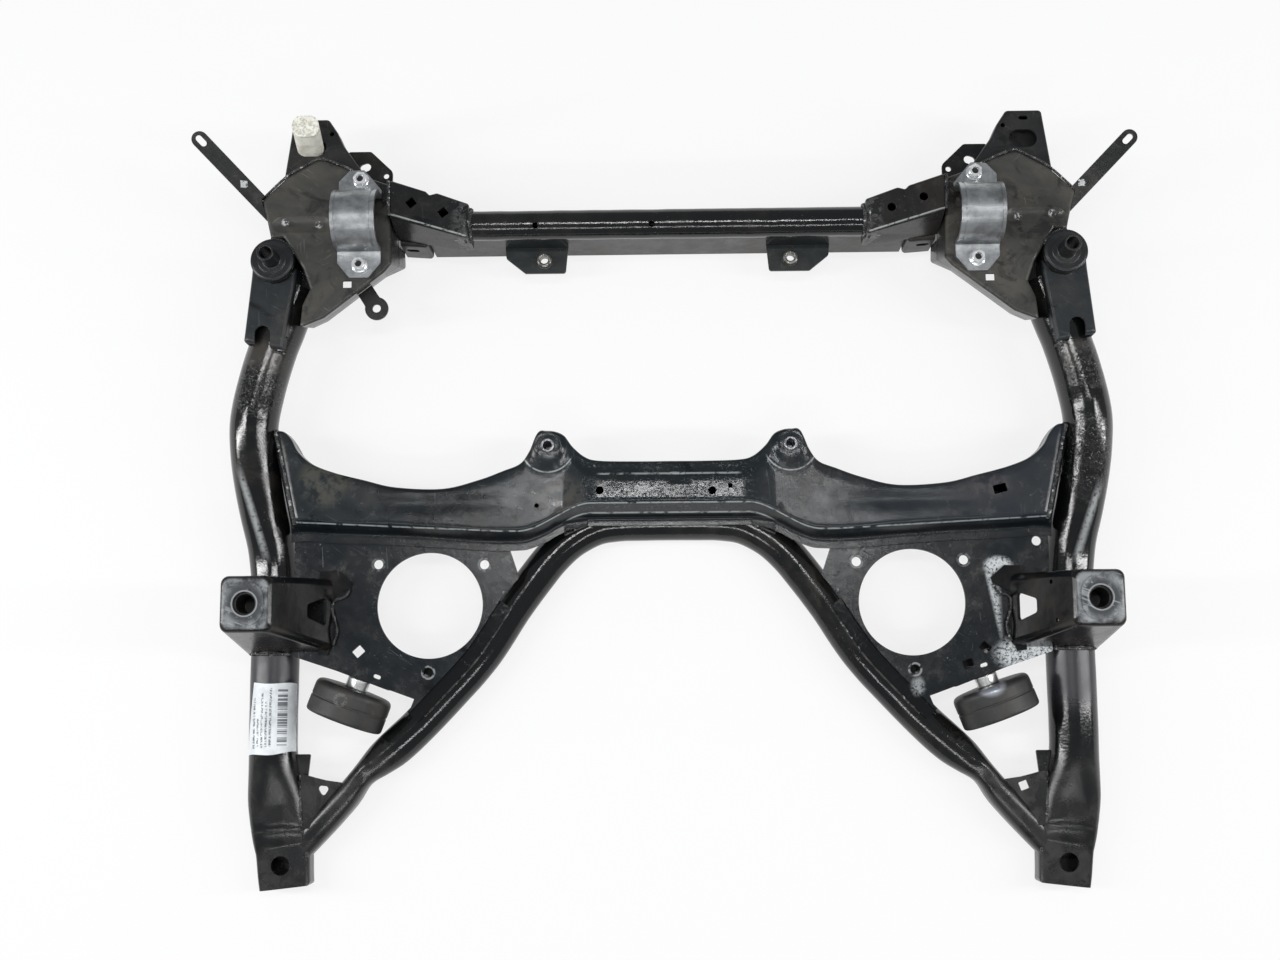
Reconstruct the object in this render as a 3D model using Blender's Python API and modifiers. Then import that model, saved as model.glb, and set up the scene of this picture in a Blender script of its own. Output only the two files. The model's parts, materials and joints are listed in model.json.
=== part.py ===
"""Front-axle subframe of a car: a welded frame of tubes and pressings, with bolted bar clamps and dampers.

Blender 4.5. X runs across the car, +Y to its front, +Z up. The frame lies on the ground plane.
Lengths are in millimetres up to the mesh builders, which turn them into metres with MM.
The layout is drawn about a datum on the crossmember. DATUM_Y moves that datum so that the middle
of the frame's length is at the origin. Paired pieces are modelled at +X and mirrored to -X.
"""

import math

import bmesh
import bpy
from mathutils import Matrix, Vector

MM = 0.001

# Stock and clearances
GAP = 0.3
SHEET = 3.0
STRAP = 4.0
TUBE_SIDES = 16
HOLE_SIDES = 12

# Overall layout along Y
REAR_EDGE_Y = -405.0
FRONT_EDGE_Y = 417.0
DATUM_Y = -(REAR_EDGE_Y + FRONT_EDGE_Y) / 2

# Side rails
RAIL_OD = 51.0
RAIL_WALL = 3.0
RAIL_X = 423.5
RAIL_END_X = 407.0
RAIL_END_LEAN = 2.6
RAIL_END_Y = REAR_EDGE_Y + RAIL_END_LEAN
RAIL_END_WIDTH = 54.0
RAIL_END_HEIGHT = 32.0
RAIL_FRONT_HEIGHT = 60.0
RAIL_FRONT_Z = 56.0
RAIL_BOLT = (RAIL_END_X + 4.0, -379.0)
RAIL_BOLT_BORE = 20.0
RAIL_END_CORNER = 9.0

# V brace
BRACE_OD = 40.0
BRACE_WALL = 2.5
BRACE_Z = BRACE_OD / 2 + 1.0
BRACE_TOP = BRACE_Z + BRACE_OD / 2
BRACE_PINCH_WIDTH = 28.0
BRACE_PINCH_HEIGHT = 41.0

# Engine-mount plates
MOUNT_PLATE_TOP = 49.0
MOUNT_FLANGE_TOP = BRACE_TOP + GAP + SHEET
MOUNT_CENTRE = (254.5, -109.0)
MOUNT_BORE = 112.0
MOUNT_BOLT_HOLE = 10.0

# Crossmember
CROSS_TOP = 70.0
CROSS_SWAGE = 5.0
CROSS_SPLIT = MOUNT_PLATE_TOP + GAP
CROSS_FLOOR = 27.0
CROSS_FLANGE = 8.0
CROSS_HOLES = ((-73.0, 9.0, 8.5), (45.0, 8.0, 8.5), (-140.0, -6.0, 5.0), (64.0, 13.0, 5.0))
CROSS_SLOT = (347.0, 8.0)
RACK_BOSS = (128.5, 58.0)
RACK_BOSS_OD = 15.0
RACK_BOSS_BORE = 9.0
RACK_BOSS_LENGTH = 34.0
RACK_BOSS_PROUD = 1.5

# Towers
TOWER_TOP = 145.0
TOWER_CENTRE = (426.0, -111.5)
TOWER_WIDTH = 51.0
TOWER_LENGTH = 56.0
TOWER_HOLE = 24.0
TOWER_FOOT_X = 352.0
TOWER_FOOT_FRONT = -80.0
TOWER_FOOT_REAR = -157.0
TOWER_SIDE_X = 453.5
SLEEVE_OD = 30.0
SLEEVE_BORE = 19.0
SLEEVE_LENGTH = 40.0

# Corner boxes
CORNER_TOP = 100.0
CORNER_FLOOR_TOP = 65.0
CORNER_SKIRT = 32.0
GROOVE_DEPTH = 1.8

# Bar clamps
CLAMP_X = 326.0
CLAMP_WIDTH = 46.0
CLAMP_BOLT_Y = (247.0, 340.0)
CLAMP_TOP = 148.0
CLAMP_ARCH_RADIUS = 31.0
CLAMP_FOOT = 13.0
BOLT_OD = 8.0
BOLT_HOLE = 9.0
BOLT_FLANGE_OD = 17.0
BOLT_FLANGE = 2.0
BOLT_FLATS = 13.0
BOLT_HEAD = 7.0
BOLT_TIP = 3.0
BOLT_REACH = 18.0

# Front cross tube and lower beam
FRONT_TUBE_OD = 31.0
FRONT_TUBE_WALL = 2.5
FRONT_TUBE_Y = 291.5
FRONT_TUBE_Z = 95.0
BRACKET_TIP_X = 209.0
TUBE_INSERT = 17.0
FRONT_TUBE_HALF = BRACKET_TIP_X + TUBE_INSERT
CORNER_INNER_X = 293.0
LOWER_BRACKET_LENGTH = 34.0
BEAM_HALF = CORNER_INNER_X - LOWER_BRACKET_LENGTH
BEAM_REAR_Y = 285.0
BEAM_FRONT_Y = 309.0
BEAM_BOTTOM = 0.0
BEAM_TOP = FRONT_TUBE_Z - FRONT_TUBE_OD / 2 - GAP
BRACKET_TOP = FRONT_TUBE_Z + FRONT_TUBE_OD / 2 + GAP + SHEET
BRACKET_DEPTH = 47.8

# Bushes and channel brackets
BUSH = (419.0, 255.0)
COLLAR_OD = 46.0
COLLAR_TOP = 104.0
COLLAR_THICK = 6.0
SPOOL_OD = 18.0
SPOOL_BORE = 12.5
SPOOL_TOP = 131.0
BARREL_OD = 46.0
BARREL_WALL = 4.0
BARREL_BOTTOM = 52.0
CHANNEL_TOP = 92.0

# Dampers
DAMPER_OD = 83.0
DAMPER_LENGTH = 36.0
DAMPER_CENTRE = (339.5, -213.0, 42.0)
DAMPER_TURN = math.radians(20.7)
DAMPER_ROUND = 6.0
DAMPER_SKIN = 8.0
STUD_OD = 8.0
SPACER_OD = 24.0
SPACER_LENGTH = 11.0

# Small pieces
STAY_FROM = (427.0, 312.0)
STAY_TO = (488.5, 375.0)
STAY_ROOT = 95.0
STAY_TIP = 109.0
STAY_TIP_LEFT = 140.0
STAY_WIDTH = 17.0
FRONT_BRACKET_TOP = 85.0
RING_TAB_TOP = 75.0
PLUG_TOP = 142.0
PLUG_REAR_TOP = 116.0
LABEL_THICK = 0.6
HANGER_TOP = 45.0
NUT_OD = 16.0
NUT_HEIGHT = 8.0

PAINT = (0.020, 0.023, 0.025)


# Scene and object helpers

def clear_scene():
    for obj in list(bpy.data.objects):
        bpy.data.objects.remove(obj, do_unlink=True)


def new_collection(name):
    made = bpy.data.collections.new(name)
    bpy.context.scene.collection.children.link(made)
    return made


clear_scene()
PARTS = new_collection("subframe")
CUTTERS = new_collection("subframe_cutters")
ROOT = bpy.data.objects.new("subframe_root", None)
PARTS.objects.link(ROOT)
ROOT.location = (0, DATUM_Y * MM, 0)


def material(name, colour, roughness, metallic):
    made = bpy.data.materials.new(name)
    made.use_nodes = True
    shader = made.node_tree.nodes["Principled BSDF"]
    shader.inputs["Base Color"].default_value = (*colour, 1)
    shader.inputs["Roughness"].default_value = roughness
    shader.inputs["Metallic"].default_value = metallic
    return made


def add_object(name, mesh, cutter=False):
    obj = bpy.data.objects.new(name, mesh)
    (CUTTERS if cutter else PARTS).objects.link(obj)
    obj.parent = ROOT
    if cutter:
        obj.hide_render = True
        obj.display_type = "WIRE"
    return obj


def finish(obj, colour, roughness, metallic, smooth=False):
    """Gives a sub-part its own material, and smooth shading where it is round."""
    obj.data.materials.clear()
    obj.data.materials.append(material(obj.name, colour, roughness, metallic))
    if smooth:
        obj.data.shade_smooth()
        obj.data.set_sharp_from_angle(angle=math.radians(35))
    return obj


def paint(obj, smooth=False, shade=1.0, roughness=0.32):
    return finish(obj, tuple(shade * part for part in PAINT), roughness, 0.0, smooth)


def mesh_of(name, points, faces):
    """A mesh in metres from points in millimetres, with its faces turned outwards."""
    mesh = bpy.data.meshes.new(name)
    mesh.from_pydata([Vector(point) * MM for point in points], [], faces)
    shape = bmesh.new()
    shape.from_mesh(mesh)
    bmesh.ops.recalc_face_normals(shape, faces=shape.faces)
    shape.to_mesh(mesh)
    shape.free()
    return mesh


def evaluated_mesh(obj):
    """The object's mesh with its modifiers applied, in its parent's space."""
    bpy.context.view_layer.update()
    graph = bpy.context.evaluated_depsgraph_get()
    mesh = bpy.data.meshes.new_from_object(obj.evaluated_get(graph))
    mesh.transform(obj.matrix_local)
    return mesh


def mirrored(obj, name):
    """The same piece on the other side of the car, as a mesh of its own."""
    mesh = evaluated_mesh(obj)
    mesh.name = name
    mesh.transform(Matrix.Scale(-1, 4, (1, 0, 0)))
    mesh.flip_normals()
    copy = add_object(name, mesh)
    source = obj.data.materials[0].copy()
    source.name = name
    mesh.materials.clear()
    mesh.materials.append(source)
    return copy


def both_sides(obj, name):
    """Names the +X piece right_NAME and adds left_NAME."""
    obj.name = obj.data.name = "right_" + name
    return obj, mirrored(obj, "left_" + name)


def boolean(obj, other, operation="DIFFERENCE"):
    modifier = obj.modifiers.new(operation.lower() + "_" + other.name, "BOOLEAN")
    modifier.operation = operation
    modifier.solver = "EXACT"
    modifier.object = other
    return obj


def cut(obj, *cutters):
    for cutter in cutters:
        boolean(obj, cutter)
    return obj


def join(obj, *others):
    for other in others:
        boolean(obj, other, "UNION")
    return obj


# Shape helpers, in millimetres

def polar(centre, radius, degrees):
    angle = math.radians(degrees)
    return (centre[0] + radius * math.cos(angle), centre[1] + radius * math.sin(angle))


def circle(centre, diameter, sides=HOLE_SIDES):
    return [polar(centre, diameter / 2, 360 * (step + 0.5) / sides) for step in range(sides)]


def arc(centre, radius, start, end, steps):
    return [polar(centre, radius, start + (end - start) * step / steps) for step in range(steps + 1)]


def oval(centre, length, width, turn=0.0, steps=6):
    """A slot with round ends, its length along X before it is turned."""
    reach = (length - width) / 2
    ends = [(reach, -90), (-reach, 90)]
    points = []
    for offset, start in ends:
        points += arc((offset, 0), width / 2, start, start + 180, steps)
    return placed(points, centre, turn)


def rectangle(centre, length, width, turn=0.0):
    half = (length / 2, width / 2)
    corners = [(-half[0], -half[1]), (half[0], -half[1]), (half[0], half[1]), (-half[0], half[1])]
    return placed(corners, centre, turn)


def placed(points, centre, turn):
    cos, sin = math.cos(math.radians(turn)), math.sin(math.radians(turn))
    return [(centre[0] + x * cos - y * sin, centre[1] + x * sin + y * cos) for x, y in points]


def moved(corners, distance):
    """The corners moved outwards by a distance, or inwards by a negative one."""
    ends = list(zip(corners, corners[1:] + corners[:1]))
    area = sum(a[0] * b[1] - b[0] * a[1] for a, b in ends)
    out = distance if area > 0 else -distance
    points = []
    for index, corner in enumerate(corners):
        here = Vector(corner[:2])
        back = (here - Vector(corners[index - 1][:2])).normalized()
        ahead = (Vector(corners[(index + 1) % len(corners)][:2]) - here).normalized()
        normal = Vector((back.y + ahead.y, -back.x - ahead.x)).normalized()
        stretch = out / max(0.5, normal.dot(Vector((ahead.y, -ahead.x))))
        points.append((*(here + normal * stretch), *corner[2:]))
    return points


def rounded(corners, radius=3.0, grow=0.0, steps=2):
    """An outline with each corner turned into an arc. A corner's third value is a radius of its own."""
    corners = moved(corners, grow)
    points = []
    count = len(corners)
    for index, corner in enumerate(corners):
        here = Vector(corner[:2])
        back = Vector(corners[index - 1][:2]) - here
        ahead = Vector(corners[(index + 1) % count][:2]) - here
        half = back.angle(ahead) / 2
        size = corner[2] if len(corner) > 2 else radius
        reach = min(size / math.tan(half), 0.42 * back.length, 0.42 * ahead.length)
        size = reach * math.tan(half)
        middle = here + (back.normalized() + ahead.normalized()).normalized() * (size / math.sin(half))
        first = here + back.normalized() * reach - middle
        last = here + ahead.normalized() * reach - middle
        turn = first.angle_signed(last)
        for step in range(steps + 1):
            points.append(tuple(middle + Matrix.Rotation(-turn * step / steps, 2) @ first))
    return points


def plate(name, outline, top, thickness, holes=(), cutter=False):
    """A flat plate: a filled 2D curve with its holes, extruded and made a mesh."""
    curve = bpy.data.curves.new(name, "CURVE")
    curve.dimensions = "2D"
    curve.fill_mode = "BOTH"
    curve.extrude = thickness / 2 * MM
    for loop in (outline, *holes):
        spline = curve.splines.new("POLY")
        spline.points.add(len(loop) - 1)
        spline.use_cyclic_u = True
        for point, (x, y) in zip(spline.points, loop):
            point.co = (x * MM, y * MM, 0, 1)
    guide = bpy.data.objects.new(name + "_curve", curve)
    CUTTERS.objects.link(guide)
    bpy.context.view_layer.update()
    graph = bpy.context.evaluated_depsgraph_get()
    mesh = bpy.data.meshes.new_from_object(guide.evaluated_get(graph))
    bpy.data.objects.remove(guide, do_unlink=True)
    bpy.data.curves.remove(curve)
    shape = bmesh.new()
    shape.from_mesh(mesh)
    bmesh.ops.remove_doubles(shape, verts=shape.verts, dist=1e-6)
    bmesh.ops.recalc_face_normals(shape, faces=shape.faces)
    shape.to_mesh(mesh)
    shape.free()
    mesh.name = name
    obj = add_object(name, mesh, cutter)
    obj.location = (0, 0, (top - thickness / 2) * MM)
    return obj


def sideways(obj, low, high):
    """Turns a plate whose outline holds (y, z) so that it runs along X from low to high."""
    obj.matrix_basis = Matrix.Translation(((low + high) / 2 * MM, 0, 0)) @ Matrix(
        ((0, 0, 1, 0), (1, 0, 0, 0), (0, 1, 0, 0), (0, 0, 0, 1))
    )
    return obj


def lengthways(obj, low, high):
    """Turns a plate whose outline holds (x, z) so that it runs along Y from low to high."""
    obj.matrix_basis = Matrix.Translation((0, (low + high) / 2 * MM, 0)) @ Matrix(
        ((1, 0, 0, 0), (0, 0, -1, 0), (0, 1, 0, 0), (0, 0, 0, 1))
    )
    return obj


def block(name, low, high, cutter=True):
    """A box between two corners, from the cube primitive."""
    mesh = bpy.data.meshes.new(name)
    shape = bmesh.new()
    bmesh.ops.create_cube(shape, size=1)
    shape.to_mesh(mesh)
    shape.free()
    low, high = Vector(low) * MM, Vector(high) * MM
    mesh.transform(Matrix.Diagonal((*(high - low), 1)))
    obj = add_object(name, mesh, cutter)
    obj.location = (low + high) / 2
    return obj


def rod(name, diameter, low, high, centre, sides=16, cutter=True):
    """An upright cylinder between two heights, from the cone primitive."""
    mesh = bpy.data.meshes.new(name)
    shape = bmesh.new()
    radius = diameter / 2 * MM
    bmesh.ops.create_cone(
        shape, cap_ends=True, segments=sides, radius1=radius, radius2=radius, depth=(high - low) * MM
    )
    shape.to_mesh(mesh)
    shape.free()
    obj = add_object(name, mesh, cutter)
    obj.location = (centre[0] * MM, centre[1] * MM, (low + high) / 2 * MM)
    return obj


def turned(name, profile, steps=20, cutter=False):
    """A closed profile of (radius, height), outer side downwards, turned about the object's Z axis."""
    count = len(profile)
    mesh = bpy.data.meshes.new(name)
    points = [(radius * MM, 0, height * MM) for radius, height in profile]
    edges = [(step, (step + 1) % count) for step in range(count)]
    if profile[0][0] == profile[-1][0] == 0:
        edges.pop()
    mesh.from_pydata(points, edges, [])
    obj = add_object(name, mesh, cutter)
    screw = obj.modifiers.new("turn", "SCREW")
    screw.steps = screw.render_steps = steps
    screw.use_merge_vertices = True
    screw.merge_threshold = 1e-6
    return obj


def ring_points(centre, along, width, height, power, sides):
    """A ring across a tube's path. Power 2 is an ellipse, and more is squarer."""
    side = along.cross(Vector((0, 0, 1))).normalized()
    up = side.cross(along).normalized()
    points = []
    for step in range(sides):
        angle = 2 * math.pi * (step + 0.5) / sides
        across, rise = math.cos(angle), math.sin(angle)
        x = math.copysign(abs(across) ** (2 / power), across) * width / 2
        y = math.copysign(abs(rise) ** (2 / power), rise) * height / 2
        points.append(centre + side * x + up * y)
    return points


def tube(name, stations, wall=None, grow=0.0, sides=TUBE_SIDES):
    """A loft through stations of (x, y, z, width, height, power): hollow with open ends, or a solid cutter."""
    centres = [Vector(station[:3]) for station in stations]
    rings = []
    for shrink in (0.0, wall) if wall else (0.0,):
        for index, (centre, station) in enumerate(zip(centres, stations)):
            along = centres[min(index + 1, len(centres) - 1)] - centres[max(index - 1, 0)]
            width = station[3] + 2 * (grow - shrink)
            height = station[4] + 2 * (grow - shrink)
            rings.append(ring_points(centre, along, width, height, station[5], sides))
    points = [point for ring in rings for point in ring]
    length = len(stations)
    faces = []
    for skin in range(len(rings) // length):
        for row in range(length - 1):
            for step in range(sides):
                a = (skin * length + row) * sides + step
                b = (skin * length + row) * sides + (step + 1) % sides
                quad = (a, b, b + sides, a + sides)
                faces.append(quad if skin == 0 else quad[::-1])
    for row in (0, length - 1):
        first = row * sides
        if wall:
            inner = first + length * sides
            for step in range(sides):
                after = (step + 1) % sides
                faces.append((first + step, first + after, inner + after, inner + step))
        else:
            faces.append(tuple(range(first, first + sides)))
    return add_object(name, mesh_of(name, points, faces), cutter=not wall)


def grid_shell(name, rows, thickness):
    """A pressing: an open surface through rows of points, given its wall by Solidify on the lower side."""
    across = len(rows[0])
    points = [point for row in rows for point in row]
    faces = []
    for row in range(len(rows) - 1):
        for step in range(across - 1):
            first = row * across + step
            faces.append((first, first + 1, first + 1 + across, first + across))
    mesh = bpy.data.meshes.new(name)
    mesh.from_pydata([Vector(point) * MM for point in points], [], faces)
    return solidified(add_object(name, mesh), thickness)


def solidified(obj, thickness):
    modifier = obj.modifiers.new("wall", "SOLIDIFY")
    modifier.thickness = thickness * MM
    modifier.offset = -1
    modifier.use_even_offset = True
    modifier.use_quality_normals = True
    return obj


def lid(name, levels, thickness, radius=3.0):
    """A pressed box open below. Each level, from the top down, is (corners, how far to grow them, height)."""
    corners, grow, height = levels[0]
    inner = [(corners, levels[1][1] - thickness, height - thickness)]
    inner += [(shape, more - thickness, z) for shape, more, z in levels[1:] if z < height - thickness - 1]
    rings = []
    for shape, more, z in levels + inner[::-1]:
        rings.append([(x, y, z) for x, y in rounded(shape, radius, more, 1)])
    count = len(rings[0])
    points = [point for ring in rings for point in ring]
    faces = [tuple(range(count)), tuple(range(len(points) - count, len(points)))]
    for level in range(len(rings) - 1):
        for step in range(count):
            after = (step + 1) % count
            high, low = level * count, (level + 1) * count
            faces.append((high + step, low + step, low + after, high + after))
    return add_object(name, mesh_of(name, points, faces))


# Side rails and V brace

def rail_stations():
    """From the flattened rear end, straight under the tower, then up and round to the front end."""
    low = RAIL_OD / 2
    front = RAIL_FRONT_Z - low
    tall = RAIL_FRONT_HEIGHT - RAIL_OD
    flat = [
        (RAIL_END_X, RAIL_END_Y, RAIL_END_WIDTH, RAIL_END_HEIGHT, 5.0),
        (RAIL_END_X + 3.5, -366.0, RAIL_END_WIDTH + 4, RAIL_END_HEIGHT + 2, 4.5),
        (RAIL_END_X + 8.0, -335.0, RAIL_END_WIDTH + 7, RAIL_END_HEIGHT + 8, 3.4),
        (RAIL_END_X + 11.5, -306.0, RAIL_END_WIDTH + 6, RAIL_END_HEIGHT + 12, 2.8),
        (RAIL_X - 1.0, -270.0, RAIL_OD + 1, RAIL_OD - 1, 2.0),
    ]
    stations = [(x, y, height / 2, width, height, power) for x, y, width, height, power in flat]
    for x, y in ((0.0, -235.0), (0.0, -167.0), (1.0, -93.0), (4.0, -62.0)):
        stations.append((RAIL_X + x, y, low, RAIL_OD, RAIL_OD, 2.0))
    bend = [
        (7.5, -37.0, 0.10, 0.0),
        (14.5, -5.0, 0.30, 0.1),
        (20.0, 29.0, 0.54, 0.3),
        (23.0, 62.0, 0.74, 0.6),
        (22.5, 92.0, 0.86, 0.9),
        (14.5, 130.0, 0.95, 1.0),
        (3.5, 168.0, 1.0, 1.0),
        (-4.5, 190.0, 1.0, 1.0),
        (-12.0, 212.0, 1.0, 1.0),
    ]
    for x, y, rise, stretch in bend:
        stations.append((RAIL_X + x, y, low + front * rise, RAIL_OD, RAIL_OD + tall * stretch, 2.0))
    return stations


def brace_stations():
    """The V brace from its left foot over the apex behind the crossmember to its right foot."""
    half = [
        (0.0, -25.0),
        (55.0, -25.5),
        (80.0, -29.0),
        (105.0, -40.0),
        (123.0, -54.0),
        (140.0, -73.0),
        (169.0, -112.0),
        (194.0, -151.0),
        (210.0, -172.0),
        (230.0, -194.0),
        (266.0, -232.0),
        (293.0, -257.0),
    ]
    right = [(x, y, BRACE_Z, BRACE_OD, BRACE_OD, 2.0) for x, y in half]
    pinch = [
        (310.0, -271.0, 35.0, 40.0, 2.2),
        (328.0, -288.0, BRACE_PINCH_WIDTH - 3, BRACE_PINCH_HEIGHT, 2.8),
        (344.0, -309.0, BRACE_PINCH_WIDTH, BRACE_PINCH_HEIGHT, 3.0),
        (368.0, -336.0, BRACE_PINCH_WIDTH, 37.0, 3.0),
        (402.0, -371.0, BRACE_PINCH_WIDTH, 28.0, 3.0),
    ]
    right += [(x, y, 1 + height / 2, width, height, power) for x, y, width, height, power in pinch]
    left = [(-station[0], *station[1:]) for station in reversed(right[1:])]
    return left + right


def mirror_stations(stations):
    return [(-station[0], *station[1:]) for station in stations]


RAIL_CUT = tube("rail_cutter", rail_stations(), grow=GAP)
RAIL_CUT_LEFT = tube("rail_cutter_left", mirror_stations(rail_stations()), grow=GAP)
BRACE_CUT = tube("brace_cutter", brace_stations(), grow=GAP, sides=12)


def side_rails():
    rail = tube("side_rail", rail_stations(), RAIL_WALL)
    bore = rod("rail_bolt_bore", RAIL_BOLT_BORE, RAIL_END_HEIGHT / 2, RAIL_END_HEIGHT + 5, RAIL_BOLT)
    inner = RAIL_END_X - RAIL_END_WIDTH / 2
    size = RAIL_END_CORNER
    corner = [(inner - 5, RAIL_END_Y - 5), (inner + size, RAIL_END_Y - 5)]
    corner += arc((inner + size, RAIL_END_Y + size), size, 270, 180, 4)
    corner += [(inner - 5, RAIL_END_Y + size)]
    trim = plate("rail_corner_cutter", corner, RAIL_OD, RAIL_OD + 5, cutter=True)
    cut(rail, bore, trim)
    paint(rail, smooth=True)
    both_sides(rail, "side_rail")


def v_brace():
    brace = tube("v_brace", brace_stations(), BRACE_WALL, sides=12)
    paint(cut(brace, RAIL_CUT, RAIL_CUT_LEFT), smooth=True)


# Crossmember

# Front edge (x, y), rear crease (x, y), and how far the middle swage is formed
CROSS_LAYOUT = [
    (0.0, 41.0, 0.0, -4.0, 1.0),
    (74.0, 42.0, 74.0, -4.0, 1.0),
    (89.0, 46.0, 91.0, -5.5, 0.6),
    (102.0, 57.0, 105.0, -10.0, 0.2),
    (111.0, 69.0, 113.0, -14.0, 0.0),
    (120.0, 73.5, 121.0, -18.0, 0.0),
    (139.0, 73.0, 136.0, -26.0, 0.0),
    (148.0, 53.0, 149.0, -31.0, 0.0),
    (158.0, 39.5, 158.0, -32.5, 0.0),
    (176.0, 32.0, 178.0, -33.0, 0.0),
    (202.0, 22.5, 203.0, -32.0, 0.0),
    (240.0, 13.5, 242.0, -29.0, 0.0),
    (290.0, 15.5, 288.0, -26.0, 0.0),
    (324.0, 23.5, 316.0, -25.0, 0.0),
    (355.0, 31.5, 340.0, -24.0, 0.0),
    (379.0, 41.0, 359.0, -23.0, 0.0),
    (394.0, 54.0, 372.0, -22.0, 0.0),
    (402.0, 68.0, 383.0, -21.0, 0.0),
    (411.0, 76.5, 391.0, -21.0, 0.0),
    (436.0, 78.0, 412.0, -22.0, 0.0),
]


def mirrored_rows(rows):
    left = [[(-x, y, z) for x, y, z in row] for row in reversed(rows[1:])]
    return left + rows


def upper_rows():
    rows = []
    side_foot = CROSS_SPLIT + SHEET
    middle_foot = BRACE_TOP + GAP + SHEET
    for number, (front_x, front_y, rear_x, rear_y, swage) in enumerate(CROSS_LAYOUT):
        front, rear = Vector((front_x, front_y)), Vector((rear_x, rear_y))
        inward = (rear - front).normalized()
        last = number == len(CROSS_LAYOUT) - 1
        drop = 12.0 if last else 0.0
        top = CROSS_TOP - drop
        foot = side_foot + (middle_foot - side_foot) * min(1.0, swage * 1.4)
        section = [
            (*front, CROSS_SPLIT),
            (*front, top - 4),
            (*(front + inward * 3), top),
            (*(front + inward * 11), top),
            (*(front + inward * 18), top + CROSS_SWAGE * swage),
            (rear.x, rear.y + 3, top + CROSS_SWAGE * swage),
            (rear.x, rear.y - 3, top - 3 + 2 * swage),
            (rear.x, rear.y - 9, max(foot + 2, top - 18 + 4 * swage)),
            (rear.x, rear.y - 11 - 2 * swage, foot),
            (rear.x, rear.y - 11 - CROSS_FLANGE - 2 * swage, foot),
        ]
        rows.append(section)
    return mirrored_rows(rows)


def lower_rows():
    rows = []
    for front_x, front_y, rear_x, rear_y, swage in CROSS_LAYOUT[::2] + CROSS_LAYOUT[-1:]:
        front, rear = Vector((front_x, front_y)), Vector((rear_x, rear_y))
        inward = (rear - front).normalized()
        edge = CROSS_SPLIT - GAP - 0.7
        under_plate = MOUNT_PLATE_TOP - SHEET - GAP - 1.3
        section = [
            (*front, edge),
            (*(front + inward * 3), CROSS_FLOOR + 8),
            (*(front + inward * 12), CROSS_FLOOR),
            (rear.x, rear.y + 6, CROSS_FLOOR),
            (rear.x, rear.y - 6, CROSS_FLOOR + 6),
            (rear.x, rear.y - 11, under_plate - 6 * swage),
        ]
        rows.append(section[::-1])
    return mirrored_rows(rows)


def crossmember():
    upper = grid_shell("crossmember_upper", upper_rows(), SHEET)
    cut(upper, RAIL_CUT, RAIL_CUT_LEFT, BRACE_CUT)
    low, high = CROSS_SPLIT, CROSS_TOP + 2 * CROSS_SWAGE
    for side in (-1, 1):
        centre = (side * RACK_BOSS[0], RACK_BOSS[1])
        cut(upper, rod(f"boss_hole_{side}", RACK_BOSS_OD + 2 * GAP, low, high, centre))
    for number, (x, y, size) in enumerate(CROSS_HOLES):
        cut(upper, rod(f"cross_hole_{number}", size, low, high, (x, y), HOLE_SIDES))
    slot = rectangle(CROSS_SLOT, 14.0, 9.0, 14.0)
    cut(upper, plate("cross_slot", slot, high, high - low, cutter=True))
    paint(upper, shade=1.6, roughness=0.42)
    lower = grid_shell("crossmember_lower", lower_rows(), SHEET)
    cut(lower, RAIL_CUT, RAIL_CUT_LEFT, BRACE_CUT)
    for side in (-1, 1):
        centre = (side * RACK_BOSS[0], RACK_BOSS[1])
        cut(lower, rod(f"lower_boss_hole_{side}", RACK_BOSS_OD + 2 * GAP, 0, CROSS_SPLIT, centre))
    paint(lower, shade=1.6, roughness=0.42)
    top = CROSS_TOP + RACK_BOSS_PROUD
    outer, bore = RACK_BOSS_OD / 2, RACK_BOSS_BORE / 2
    profile = [
        (outer - 0.8, top),
        (outer, top - 0.8),
        (outer, top - RACK_BOSS_LENGTH),
        (bore, top - RACK_BOSS_LENGTH),
        (bore, top),
    ]
    boss = turned("rack_boss", profile, 16)
    boss.location = (RACK_BOSS[0] * MM, RACK_BOSS[1] * MM, 0)
    finish(boss, (0.10, 0.105, 0.11), 0.35, 0.7, smooth=True)
    both_sides(boss, "rack_boss")


# Engine-mount plates and dampers

def brace_side(offset, first, last, inset=0.0):
    """Points beside the V brace's right arm between two stations, offset to its outer side."""
    arm = [Vector(station[:2]) for station in brace_stations()]
    middle = len(arm) // 2
    arm = arm[middle:]
    points = []
    for index in range(first, last + 1):
        along = (arm[index + 1] - arm[index - 1]).normalized()
        shift = along * inset * ((index == first) - (index == last))
        points.append(tuple(arm[index] + shift + Vector((-along.y, along.x)) * offset))
    return points


def damper_frame():
    """Places a piece modelled along its own Z on the damper's axis, which points rearwards and out."""
    turn = Matrix.Rotation(DAMPER_TURN, 4, "Z") @ Matrix.Rotation(math.radians(90), 4, "X")
    return Matrix.Translation(Vector(DAMPER_CENTRE) * MM) @ turn


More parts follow.
